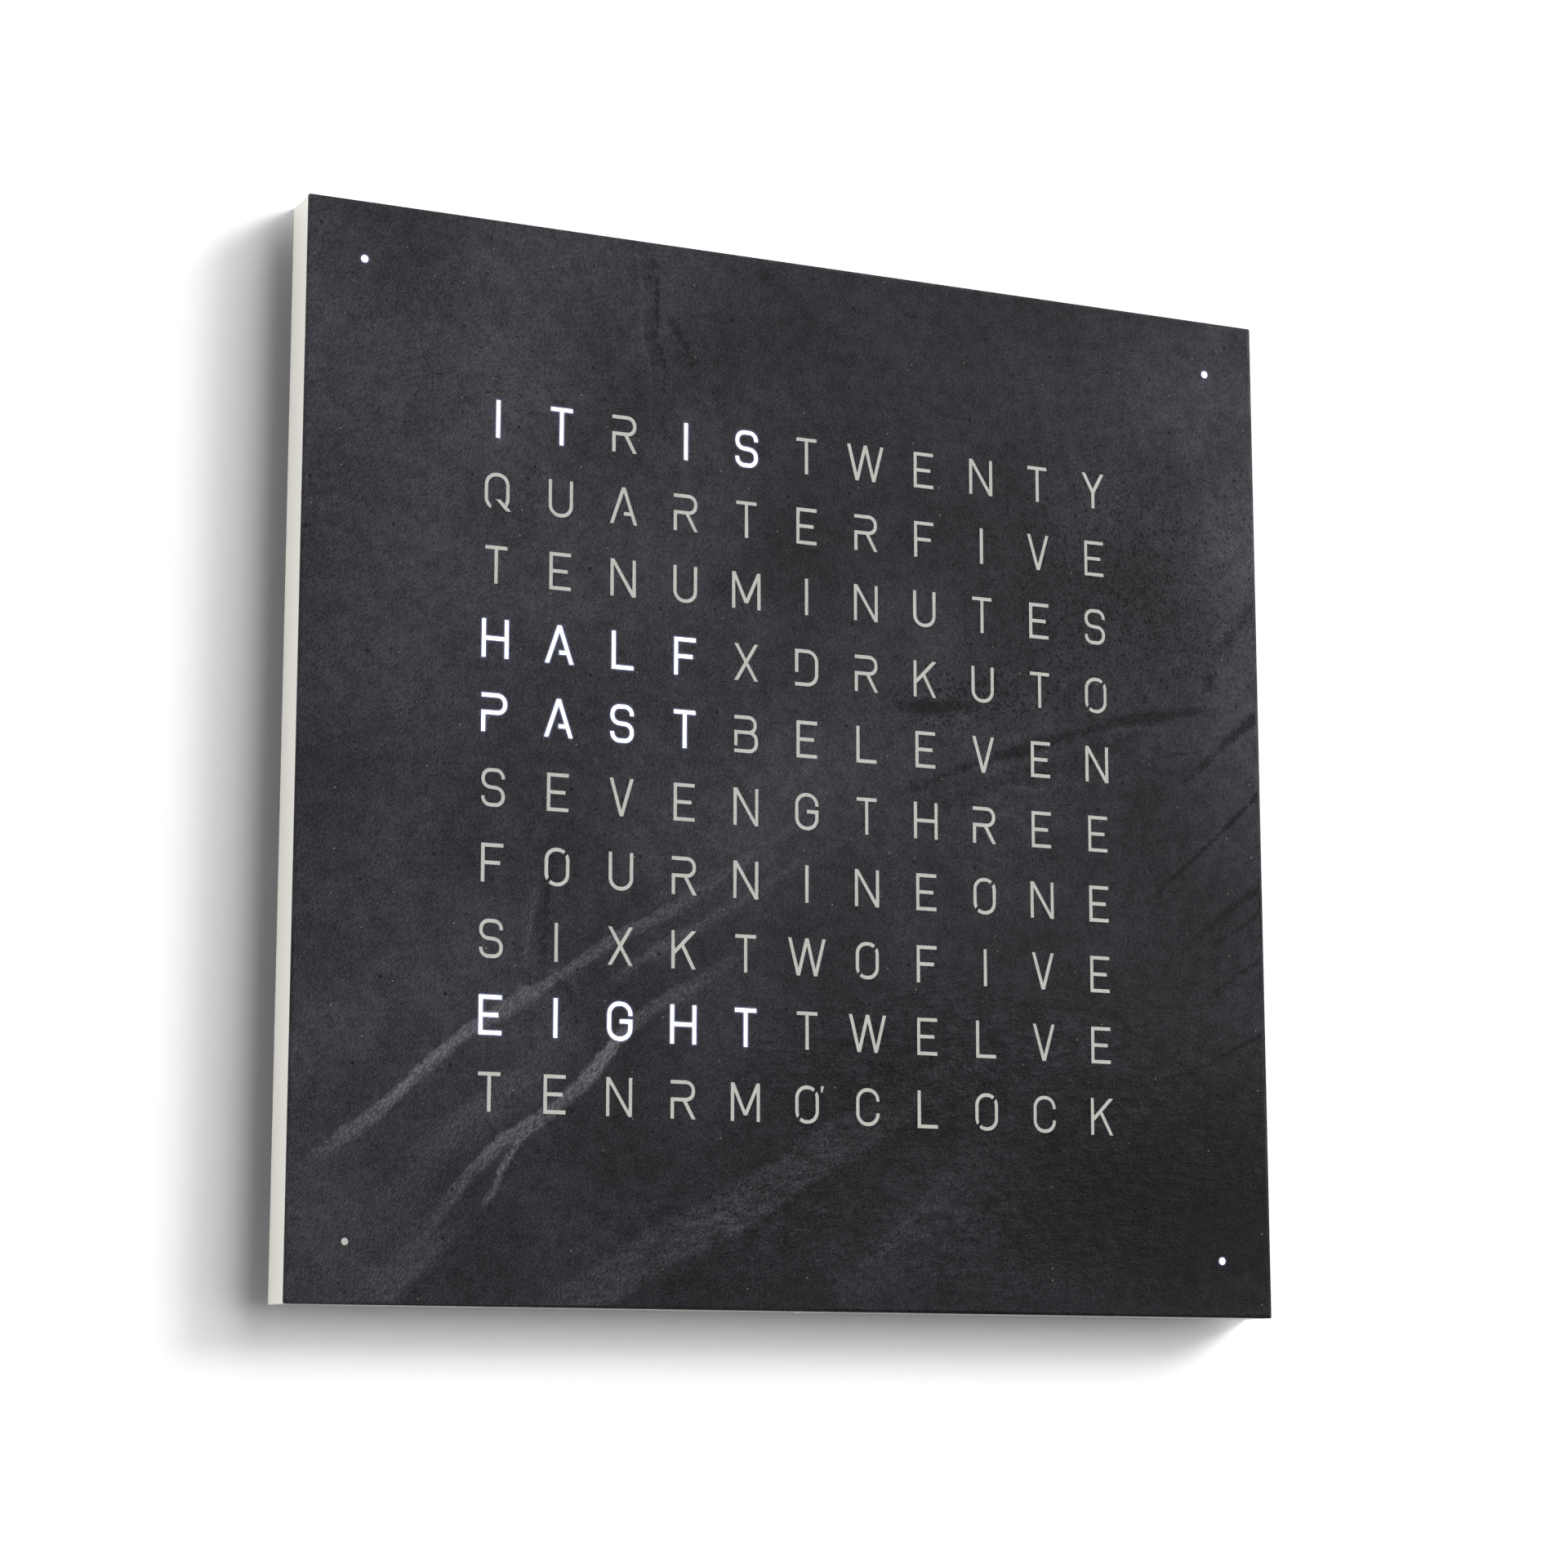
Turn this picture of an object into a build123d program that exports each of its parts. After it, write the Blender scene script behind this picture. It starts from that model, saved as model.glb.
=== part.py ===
from build123d import *
import os

# Wall word clock: a slate-faced front cover held by magnets on a shallow lacquered tray that carries the lights,
# the electronics and the wall hangers.
#
# Millimetres. +X is to the right of someone facing the clock, +Z is up and -Y points at that person. The origin is the
# middle of the back face, on the wall. A size that ends in _H is a distance from the wall, measured along -Y.

# ---- overall -------------------------------------------------------------------------------------------------------
SIDE = 450.0             # square front
DEPTH = 20.0             # wall to front surface
CORNER_R = 0.8           # long edges of tray, panel and slate

# ---- front cover ---------------------------------------------------------------------------------------------------
SLATE_T = 1.0            # slate veneer
PANEL_T = 3.0            # opal acrylic panel behind it
INLAY_SINK = 0.15        # letter faces lie this far below the slate
INLAY_FIT = 0.02         # resin letters in their cut-outs, all round
COVER_GAP = 0.3          # between the cover and what stays on the wall

# ---- letters -------------------------------------------------------------------------------------------------------
BORDER_X = 69.625        # bare slate left and right of the letter grid's cells
BORDER_Z = 70.0          # and above and below them
CAP_H = 16.0             # height of a capital
LETTER_W = 11.0          # width of a round capital
STROKE_W = 1.6
STENCIL_GAP = 1.3        # bridges that break the closed letters
DOT_D = 3.0              # minute dots in the corners
DOT_MARGIN = 24.5        # their centres from both edges
LETTER_ROWS = (
    "ITRISTWENTY",
    "QUARTERFIVE",
    "TENUMINUTES",
    "HALFXDRKUTO",
    "PASTBELEVEN",
    "SEVENGTHREE",
    "FOURNINEONE",
    "SIXKTWOFIVE",
    "EIGHTTWELVE",
    "TENRM'CLOCK",       # the apostrophe stands for the O of O'CLOCK with its mark
)
LIT_WORDS = ((0, 0, 2), (0, 3, 2), (3, 0, 4), (4, 0, 4), (8, 0, 5))   # row, first column, letters
UNLIT_DOTS = ((-1, -1),)                                             # corners by sign of x and z

# ---- tray ----------------------------------------------------------------------------------------------------------
RIM_W = 14.0             # frame round the cavity
REAR_T = 3.5             # floor of the tray, against the wall

# ---- screws, the same kind throughout ------------------------------------------------------------------------------
SCREW_R = 1.25
SCREW_HEAD_R = 2.3
SCREW_HEAD_H = 1.5
SCREW_CLEAR = 0.15       # radial, in everything that a screw passes through
SCREW_BITE = 2.3         # depth of a pilot hole in the tray
THREAD_FIT = 0.02        # radial, in a pilot hole

# ---- lights --------------------------------------------------------------------------------------------------------
BOARD_T = 1.6            # every circuit board
BOARD_LIFT = 3.6         # light boards above the tray's floor
BOARD_EDGE = 8.9         # light board beyond the light grid
GRID_WALL = 1.5
EAR_W = 9.0              # screw ears of the light grid
EAR_T = 2.0
EAR_COLUMN = 3.5         # ears on the upper and lower sides, in columns from the middle
EAR_ROW = 3.0            # ears on the left and right sides, in rows from the middle
LED_W = 3.5
LED_T = 1.4
LED_LENS_R = 1.4
LED_LENS_SINK = 0.3
SPACER_R = 2.5
DRIVER_W = 10.0
DRIVER_L = 7.5
DRIVER_T = 1.5
DRIVER_X = 60.0
DRIVER_Z = 80.0

# ---- corner lights -------------------------------------------------------------------------------------------------
DOT_BOARD_W = 16.0
DOT_SCREW_OFFSET = 5.5
DOT_TUBE_R = 4.5
DOT_TUBE_WALL = 1.5
DOT_LED_W = 2.0
DOT_LED_T = 0.8
LEAD_W = 4.0             # flat leads to the corner boards
LEAD_T = 0.6
LEAD_LAP = 5.0           # length soldered on the light board

# ---- cover magnets and pins ----------------------------------------------------------------------------------------
MAGNET_R = 4.0
MAGNET_T = 3.0
MAGNET_OFFSET = 140.0    # from the middle of each side
STRIKE_R = 5.0
STRIKE_T = 1.0
PIN_R = 2.0
PIN_SUNK = 4.0
PIN_PROUD = 1.5

# ---- wall hangers --------------------------------------------------------------------------------------------------
HANGER_IN = 85.0         # middle of a hanger plate from the side of the clock
HANGER_W = 34.0
HANGER_L = 26.0
HANGER_T = 1.5
HANGER_BELOW_TOP = 37.0  # middle of a hanger plate from the top edge
HANGER_SINK = 0.3
HANGER_FIT = 0.2
HANGER_SCREW_X = 13.0
KEYHOLE_R = 4.5
KEYSLOT_R = 2.3
KEYHOLE_DROP = 4.0       # round entry below the middle of the plate
KEYSLOT_RISE = 5.0       # end of the slot above the middle
HEAD_ROOM_W = 12.0       # pocket for the head of the wall screw
HEAD_ROOM_L = 20.0
HEAD_ROOM_H = 8.5
BLOCK_W = 44.0           # solid wood left round a hanger
BLOCK_H = 13.0
BLOCK_DROP = 18.0        # its lower end below the middle of the plate

# ---- power inlet ---------------------------------------------------------------------------------------------------
PLUG_ROOM_W = 14.0       # recess in the back for the plug
PLUG_ROOM_TOP = 35.0     # its upper end from the lower edge of the clock
PLUG_WALL = 5.0          # wood left round it
PLUG_SKIN = 2.5          # and in front of it
PLUG_SKIN_GAP = 0.5      # between that wood and the cover
CABLE_GROOVE_W = 7.0
CABLE_GROOVE_H = 7.0
JACK_W = 9.0
JACK_L = 14.2
JACK_BORE_R = 3.15
JACK_BORE_L = 9.5
JACK_PIN_R = 1.05
JACK_PIN_L = 8.0
JACK_GAP = 0.3

# ---- controller board ----------------------------------------------------------------------------------------------
CONTROL_DROP = 3.5       # rear face of the board behind the cover
CONTROL_LEFT = -42.0
CONTROL_RIGHT = 92.0
CONTROL_LOW = 17.0       # lower edge of the board from the lower edge of the clock
CONTROL_L = 39.0
CONTROL_SCREW_IN = 4.5   # screws from the board's edges
NOTCH_CLEAR = 1.0        # round the plug recess
CHIP_X, CHIP_UP = -22.0, 38.0          # UP is measured from the lower edge of the clock
CHIP_W = 9.0
CHIP_T = 1.2
CRYSTAL_X = -34.0
CRYSTAL_R = 1.5
CRYSTAL_L = 6.0
REGULATOR_X, REGULATOR_UP = 12.0, 50.0
REGULATOR_W = 6.5
REGULATOR_T = 2.3
CAPACITOR_X, CAPACITOR_UP = 12.0, 41.0
CAPACITOR_R = 3.0
CAPACITOR_L = 5.4

# ---- battery, in reach of the service opening ----------------------------------------------------------------------
CELL_IN = 11.0           # its middle from the right end of the service opening
CELL_R = 10.0
CELL_T = 3.2
HOLDER_W = 22.5
HOLDER_T = 4.6
HOLDER_FLOOR = 1.0
HOLDER_GAP = 0.2
CLIP_W = 4.0
CLIP_T = 0.4

# ---- push buttons --------------------------------------------------------------------------------------------------
BUTTON_NAMES = ("mode", "minus", "plus")
BUTTON_IN_X = 6.0        # middle of the first from the left end of the service opening
BUTTON_IN_Z = 8.0        # and from its lower end
BUTTON_PITCH = 9.5
BUTTON_R = 3.0
BUTTON_FLANGE_R = 3.9
BUTTON_FLANGE_T = 1.0
BUTTON_SINK = 0.6        # cap below the back of the clock
BUTTON_RUN = 0.3         # clearance round the cap and stem
SWITCH_W = 6.0
SWITCH_T = 3.5
STEM_R = 1.7
STEM_IN_SWITCH = 1.0
SWITCH_BORE_L = 2.0

# ---- service cover -------------------------------------------------------------------------------------------------
SERVICE_X, SERVICE_UP = 48.0, 36.0
SERVICE_W = 56.0
SERVICE_L = 30.0
SERVICE_LAP = 5.0        # ledge round the opening
SERVICE_T = 1.5
SERVICE_SINK = 0.2
SERVICE_FIT = 0.2
SERVICE_SCREW_L = 3.2

# ---- ribbon cable and light sensor ---------------------------------------------------------------------------------
RIBBON_X = -20.0
RIBBON_W = 14.0
RIBBON_T = 0.7
RIBBON_BEND = 1.2
HEADER_W = 17.0
HEADER_L = 5.0
LOW_HEADER_T = 2.6
TALL_HEADER_T = 5.5
HEADER_IN = 5.0          # headers from the facing edges of the two boards
SENSOR_X = -30.0
SENSOR_W = 3.0
SENSOR_T = 2.6
LIGHT_PIPE_R = 1.5

# ---- worked out from the sizes above -------------------------------------------------------------------------------
COLUMNS = len(LETTER_ROWS[0])
ROWS = len(LETTER_ROWS)
HALF = SIDE / 2
TRAY_H = DEPTH - SLATE_T - PANEL_T
CAVITY = HALF - RIM_W
PITCH_X = (SIDE - 2 * BORDER_X) / COLUMNS     # columns of the letter grid
PITCH_Z = (SIDE - 2 * BORDER_Z) / ROWS        # rows
INLAY_H = DEPTH - INLAY_SINK
FLOOR_H = REAR_T
BOARD_H = FLOOR_H + BOARD_LIFT
LIGHTS_H = BOARD_H + BOARD_T
GRID_TOP_H = TRAY_H - COVER_GAP
GRID_HALF_X = (COLUMNS * PITCH_X + GRID_WALL) / 2
GRID_HALF_Z = (ROWS * PITCH_Z + GRID_WALL) / 2
BOARD_HALF_X = GRID_HALF_X + BOARD_EDGE
BOARD_HALF_Z = GRID_HALF_Z + BOARD_EDGE
DOT = HALF - DOT_MARGIN
CORNERS = [(i, k) for i in (-1, 1) for k in (-1, 1)]
HANGER_X = HALF - HANGER_IN
HANGER_Z = HALF - HANGER_BELOW_TOP
HANGER_PLATE_H = HANGER_SINK + HANGER_T
CONTROL_H = TRAY_H - CONTROL_DROP
CONTROL_Z0 = -HALF + CONTROL_LOW
CONTROL_Z1 = CONTROL_Z0 + CONTROL_L
PLUG_Z = -HALF + PLUG_ROOM_TOP
PLUG_ROOM_H = TRAY_H - PLUG_SKIN_GAP - PLUG_SKIN
CHIP_Z = -HALF + CHIP_UP
REGULATOR_Z = -HALF + REGULATOR_UP
CAPACITOR_Z = -HALF + CAPACITOR_UP
SERVICE_Z = -HALF + SERVICE_UP
CELL_X = SERVICE_X + SERVICE_W / 2 - CELL_IN
CELL_Z = SERVICE_Z
BUTTON_Z = SERVICE_Z - SERVICE_L / 2 + BUTTON_IN_Z
BUTTONS = {name: SERVICE_X - SERVICE_W / 2 + BUTTON_IN_X + step * BUTTON_PITCH
           for step, name in enumerate(BUTTON_NAMES)}
JACK_H = (FLOOR_H + CONTROL_H) / 2
SERVICE_PLATE_H = SERVICE_SINK + SERVICE_T
SWITCH_H = CONTROL_H - SWITCH_T
PILOT_R = SCREW_R + THREAD_FIT


# ---- drawing helpers -----------------------------------------------------------------------------------------------
def slab(sketch, low, high):
    """A flat drawing, seen from the front, made solid between two distances from the wall."""
    return extrude(Plane.XZ.offset(low) * sketch, amount=high - low)


def oblong(x0, x1, z0, z1):
    return Pos((x0 + x1) / 2, (z0 + z1) / 2) * Rectangle(x1 - x0, z1 - z0)


def block(x0, x1, z0, z1, low, high):
    return slab(oblong(x0, x1, z0, z1), low, high)


def block_at(x, z, width, length, low, high):
    return slab(Pos(x, z) * Rectangle(width, length), low, high)


def rod(x, z, radius, low, high):
    return slab(Pos(x, z) * Circle(radius), low, high)


def tube(x, z, outer, inner, low, high):
    return slab(Pos(x, z) * (Circle(outer) - Circle(inner)), low, high)


def upright(x, height, radius, z0, z1):
    """A round bar along Z at a distance from the wall."""
    return extrude(Plane((x, -height, z0)) * Circle(radius), amount=z1 - z0)


def pan_screw(x, z, seat, tip):
    """A screw driven from the front: its head on seat, its tip nearer the wall."""
    return rod(x, z, SCREW_HEAD_R, seat, seat + SCREW_HEAD_H) + rod(x, z, SCREW_R, tip, seat)


def flush_screw(x, z, seat, tip):
    """A countersunk screw driven from behind, flush with a plate whose outer face is at seat."""
    cone = Plane((x, -seat, z), x_dir=(1, 0, 0), z_dir=(0, -1, 0)) * Cone(
        SCREW_HEAD_R, SCREW_R, SCREW_HEAD_R - SCREW_R, align=(Align.CENTER, Align.CENTER, Align.MIN))
    return cone + rod(x, z, SCREW_R, seat, tip)


def flush_hole(x, z, seat, tip, clear):
    """What a countersunk screw needs cut away round it."""
    cone = Plane((x, -seat, z), x_dir=(1, 0, 0), z_dir=(0, -1, 0)) * Cone(
        SCREW_HEAD_R + clear, SCREW_R + clear, SCREW_HEAD_R - SCREW_R,
        align=(Align.CENTER, Align.CENTER, Align.MIN))
    return cone + rod(x, z, SCREW_R + clear, seat, tip)


def save(name, solids):
    """Write one sub-part; a list of solids becomes one group."""
    shape = Compound(children=list(solids)) if isinstance(solids, (list, tuple)) else solids
    export_step(shape, f"parts/{name}.step")


def square_plate(width, low, high):
    return slab(RectangleRounded(width, width, CORNER_R), low, high)


# ---- alphabet ------------------------------------------------------------------------------------------------------
class Pen:
    """Single-stroke capitals with stencil gaps, each centred on the middle of its cap height.

    trim is how far every outline stays inside the full-size letter.
    """

    def __init__(self, trim):
        self.width = STROKE_W - 2 * trim
        self.cap = CAP_H - 2 * trim
        self.gap = STENCIL_GAP + 2 * trim

    def bar(self, x0, y0, x1, y1):
        """A straight stroke with square ends."""
        side = Vector(y0 - y1, x1 - x0).normalized() * self.width / 2
        return Polygon((x0 - side.X, y0 - side.Y), (x1 - side.X, y1 - side.Y),
                       (x1 + side.X, y1 + side.Y), (x0 + side.X, y0 + side.Y), align=None)

    def slope(self, x0, y0, x1, y1):
        """A slanting stroke whose ends are cut level."""
        reach = self.width / 2 * Vector(x1 - x0, y1 - y0).length / (y1 - y0)
        return Polygon((x0 - reach, y0), (x0 + reach, y0), (x1 + reach, y1), (x1 - reach, y1), align=None)

    def bend(self, points, radii):
        """A stroke along the points, each inner corner rounded by its radius (0 is a sharp corner)."""
        swept = trace(FilletPolyline(*points, radius=radii), line_width=self.width)
        return Sketch() + [Face(face.outer_wire()) for face in swept.faces()]

    def within(self, shape, half_width):
        return shape & oblong(-half_width, half_width, -self.cap / 2, self.cap / 2)

    def alphabet(self):
        """Each capital's name and the faces that draw it."""
        bar, slope, bend, within = self.bar, self.slope, self.bend, self.within
        half = self.width / 2
        top = self.cap / 2                        # outer edge of the cap height
        line = top - half                         # middle of a stroke along that edge
        wide = (LETTER_W - STROKE_W) / 2          # middle of a round capital's side
        slim = 0.86 * wide                        # E, F, L, T
        full = 1.06 * wide                        # H, N
        broad = 1.25 * wide                       # M
        round_r = 0.94 * wide
        bowl_r = 0.46 * line
        open_end = line - 1.08 * round_r
        ring = RectangleRounded(2 * (wide + half), self.cap, round_r + half) - RectangleRounded(
            2 * (wide - half), self.cap - 2 * self.width, round_r - half)
        bridge = Rot(0, 0, 55) * Rectangle(3 * STROKE_W, self.gap)
        bridge_x, bridge_y = 0.8 * wide, 0.8 * line
        bowl = [(-wide - half, line), (wide, line), (wide, 0), (-wide, 0), (-wide, -top)]
        letters = {
            "A": slope(-1.15 * wide, -top, 0, top) + slope(1.15 * wide, -top, 0, top)
            + bar(0, -0.42 * top, 0.8 * wide, -0.42 * top),
            "B": bend([(-wide - half, line), (0.9 * wide, line), (0.9 * wide, half), (-wide, half),
                       (-wide, -line + half + self.gap)], [0.9 * bowl_r, 0.9 * bowl_r, 0])
            + bend([(0, half), (wide, half), (wide, -line), (-wide - half, -line)], [bowl_r, bowl_r]),
            "C": bend([(wide, open_end), (wide, line), (-wide, line), (-wide, -line), (wide, -line),
                       (wide, -open_end)], [round_r] * 4),
            "D": bar(-wide, top, -wide, -0.26 * top)
            + bend([(-wide, line), (wide, line), (wide, -line), (-wide - half, -line)], [round_r] * 2),
            "E": bend([(slim + half, line), (-slim, line), (-slim, -line), (slim + half, -line)], [0, 0])
            + bar(-slim, 0, 0.85 * slim, 0),
            "F": bend([(slim + half, line), (-slim, line), (-slim, -top)], [0]) + bar(-slim, 0, 0.85 * slim, 0),
            "G": bend([(wide, open_end), (wide, line), (-wide, line), (-wide, -line), (wide, -line),
                       (wide, 0), (0, 0)], [round_r] * 4 + [0]),
            "H": bar(-full, -top, -full, top) + bar(full, -top, full, top) + bar(-full, 0, full, 0),
            "I": bar(0, -top, 0, top),
            "K": bar(-wide, -top, -wide, top) + within(slope(-wide, -0.22 * top, wide, top), wide + half)
            + slope(-0.16 * wide, 0.29 * top, wide, -top),
            "L": bend([(-slim, top), (-slim, -line), (slim + half, -line)], [0]),
            "M": bar(-broad, -top, -broad, top) + bar(broad, -top, broad, top)
            + within(slope(-broad, top, 0, -0.68 * top) + slope(broad, top, 0, -0.68 * top), broad + half),
            "N": bar(-full, -top, -full, top) + bar(full, -top, full, top)
            + within(slope(-full, top, full, -top), full + half),
            "O": ring - Pos(bridge_x, bridge_y) * bridge - Pos(-bridge_x, -bridge_y) * bridge,
            "P": bend(bowl, [bowl_r, bowl_r, 0]),
            "Q": ring - oblong(-0.55 * wide, 0.8 * wide, -top, -0.6 * top)
            + slope(0.1 * wide, -0.2 * CAP_H, 1.1 * wide, -top),
            "R": bend(bowl, [bowl_r, bowl_r, 0]) + slope(0.1 * wide, 0, 1.05 * wide, -top),
            "S": bend([(0.93 * wide, line - 1.1 * bowl_r), (0.93 * wide, line), (-0.93 * wide, line),
                       (-0.93 * wide, 0.05 * line), (0.93 * wide, -0.05 * line), (0.93 * wide, -line),
                       (-0.93 * wide, -line), (-0.93 * wide, -line + 1.1 * bowl_r)], [0.98 * bowl_r] * 6),
            "T": bar(-slim - half, line, slim + half, line) + bar(0, -top, 0, top),
            "U": bend([(-wide, top), (-wide, -line), (wide, -line), (wide, top)], [round_r] * 2),
            "V": slope(-0.98 * wide, top, 0, -top) + slope(0.98 * wide, top, 0, -top),
            "W": slope(-1.7 * wide, top, -0.85 * wide, -top) + slope(0, top, -0.85 * wide, -top)
            + slope(1.7 * wide, top, 0.85 * wide, -top) + slope(0, top, 0.85 * wide, -top),
            "X": slope(-wide, -top, wide, top) + slope(wide, -top, -wide, top),
            "Y": slope(-wide, top, 0, -0.1 * top) + slope(wide, top, 0, -0.1 * top)
            + bar(0, 0.1 * top, 0, -top),
        }
        mark_x = wide + 1.5 * STROKE_W
        mark_low = 0.33 * CAP_H
        letters["'"] = letters["O"] + Polygon((mark_x - half, mark_low), (mark_x, mark_low),
                                              (mark_x + half, top), (mark_x - half, top), align=None)
        return {name: drawing.faces() for name, drawing in letters.items()}


def letter_cells():
    """Each cell's letter, middle and state, row by row from the top."""
    lit = {(row, first + step) for row, first, count in LIT_WORDS for step in range(count)}
    for row, word in enumerate(LETTER_ROWS):
        for column, name in enumerate(word):
            x = (column - (COLUMNS - 1) / 2) * PITCH_X
            z = ((ROWS - 1) / 2 - row) * PITCH_Z
            yield name, x, z, (row, column) in lit


# ---- front cover ---------------------------------------------------------------------------------------------------
def front_cover():
    openings, fills = Pen(0).alphabet(), Pen(INLAY_FIT).alphabet()
    cuts, lit, unlit = [], [], []
    for name, x, z, shines in letter_cells():
        cuts += [face.outer_wire().moved(Pos(x, z)) for face in openings[name]]
        inlays = lit if shines else unlit
        inlays += [slab(face.moved(Pos(x, z)), DEPTH - SLATE_T, INLAY_H) for face in fills[name]]
    dots_lit, dots_unlit = [], []
    for i, k in CORNERS:
        cuts.append(Wire.make_circle(DOT_D / 2).moved(Pos(i * DOT, k * DOT)))
        dot = rod(i * DOT, k * DOT, DOT_D / 2 - INLAY_FIT, DEPTH - SLATE_T, INLAY_H)
        (dots_unlit if (i, k) in UNLIT_DOTS else dots_lit).append(dot)
    outer = RectangleRounded(SIDE, SIDE, CORNER_R).face().outer_wire()
    save("slate_face", slab(Face(outer, cuts), DEPTH - SLATE_T, DEPTH))
    save("lit_letters", lit)
    save("unlit_letters", unlit)
    save("lit_minute_dots", dots_lit)
    save("unlit_minute_dot", dots_unlit)
    panel = square_plate(SIDE, TRAY_H, DEPTH - SLATE_T)
    panel -= [rod(x, z, STRIKE_R, TRAY_H, TRAY_H + STRIKE_T) for x, z in magnet_places()]
    panel -= [rod(x, z, PIN_R + COVER_GAP, TRAY_H, TRAY_H + PIN_PROUD + COVER_GAP) for x, z in pin_places()]
    save("opal_panel", panel)
    save("strike_discs", [rod(x, z, STRIKE_R - THREAD_FIT, TRAY_H, TRAY_H + STRIKE_T)
                          for x, z in magnet_places()])


def magnet_places():
    rim = HALF - RIM_W / 2
    sides = [(i * rim, k * MAGNET_OFFSET) for i, k in CORNERS]
    return sides + [(i * MAGNET_OFFSET, k * rim) for i, k in CORNERS]


def pin_places():
    rim = HALF - RIM_W / 2
    return [(-rim, rim), (rim, -rim)]


# ---- tray ----------------------------------------------------------------------------------------------------------
def hanger_places():
    return {"left": -HANGER_X, "right": HANGER_X}


def service_screw_places():
    dx = (SERVICE_W + SERVICE_LAP) / 2
    dz = (SERVICE_L + SERVICE_LAP) / 2
    return [(SERVICE_X + i * dx, SERVICE_Z + k * dz) for i, k in CORNERS]


def hanger_screw_places(x):
    return [(x - HANGER_SCREW_X, HANGER_Z), (x + HANGER_SCREW_X, HANGER_Z)]


def grid_screw_places():
    ear = BOARD_HALF_X - BOARD_EDGE / 2, BOARD_HALF_Z - BOARD_EDGE / 2
    sides = [(i * ear[0], k * EAR_ROW * PITCH_Z) for i, k in CORNERS]
    return sides + [(i * EAR_COLUMN * PITCH_X, k * ear[1]) for i, k in CORNERS]


def dot_screw_places():
    return [(i * DOT + s * DOT_SCREW_OFFSET, k * DOT - s * i * k * DOT_SCREW_OFFSET)
            for i, k in CORNERS for s in (-1, 1)]


def control_screw_places():
    return [(x, z) for x in (CONTROL_LEFT + CONTROL_SCREW_IN, CONTROL_RIGHT - CONTROL_SCREW_IN)
            for z in (CONTROL_Z0 + CONTROL_SCREW_IN, CONTROL_Z1 - CONTROL_SCREW_IN)]


def tray():
    body = square_plate(SIDE, 0, TRAY_H)
    body -= block(-CAVITY, CAVITY, -CAVITY, CAVITY, FLOOR_H, TRAY_H)
    plug_half = PLUG_ROOM_W / 2
    body += block(-plug_half - PLUG_WALL, plug_half + PLUG_WALL, -CAVITY, PLUG_Z,
                  FLOOR_H, PLUG_ROOM_H + PLUG_SKIN)
    body -= block(-plug_half, plug_half, -CAVITY, PLUG_Z, 0, PLUG_ROOM_H)
    body -= block(-CABLE_GROOVE_W / 2, CABLE_GROOVE_W / 2, -HALF, -CAVITY, 0, CABLE_GROOVE_H)
    for x in hanger_places().values():
        body += block(x - BLOCK_W / 2, x + BLOCK_W / 2, HANGER_Z - BLOCK_DROP, CAVITY, FLOOR_H, BLOCK_H)
        body -= block_at(x, HANGER_Z, HANGER_W + 2 * HANGER_FIT, HANGER_L + 2 * HANGER_FIT,
                         0, HANGER_PLATE_H)
        body -= block_at(x, HANGER_Z, HEAD_ROOM_W, HEAD_ROOM_L, HANGER_PLATE_H, HEAD_ROOM_H)
        body -= [rod(px, pz, PILOT_R, HANGER_PLATE_H, HANGER_PLATE_H + 2 * SCREW_BITE)
                 for px, pz in hanger_screw_places(x)]
    body -= block_at(SERVICE_X, SERVICE_Z, SERVICE_W, SERVICE_L, 0, FLOOR_H)
    lap = 2 * (SERVICE_LAP + SERVICE_FIT)
    body -= block_at(SERVICE_X, SERVICE_Z, SERVICE_W + lap, SERVICE_L + lap, 0, SERVICE_PLATE_H)
    body -= [rod(x, z, PILOT_R, 0, FLOOR_H) for x, z in service_screw_places()]
    pilots = grid_screw_places() + dot_screw_places() + control_screw_places()
    body -= [rod(x, z, PILOT_R, FLOOR_H - SCREW_BITE, FLOOR_H) for x, z in pilots]
    body -= [rod(x, z, MAGNET_R + THREAD_FIT, TRAY_H - MAGNET_T, TRAY_H) for x, z in magnet_places()]
    body -= [rod(x, z, PIN_R + THREAD_FIT, TRAY_H - PIN_SUNK, TRAY_H) for x, z in pin_places()]
    body -= upright(SENSOR_X, CONTROL_H - SENSOR_T / 2, LIGHT_PIPE_R + THREAD_FIT, -HALF, -CAVITY)
    save("tray", body)
    save("cover_magnets", [rod(x, z, MAGNET_R, TRAY_H - MAGNET_T, TRAY_H) for x, z in magnet_places()])
    save("locating_pins", [rod(x, z, PIN_R, TRAY_H - PIN_SUNK, TRAY_H + PIN_PROUD) for x, z in pin_places()])


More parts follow.
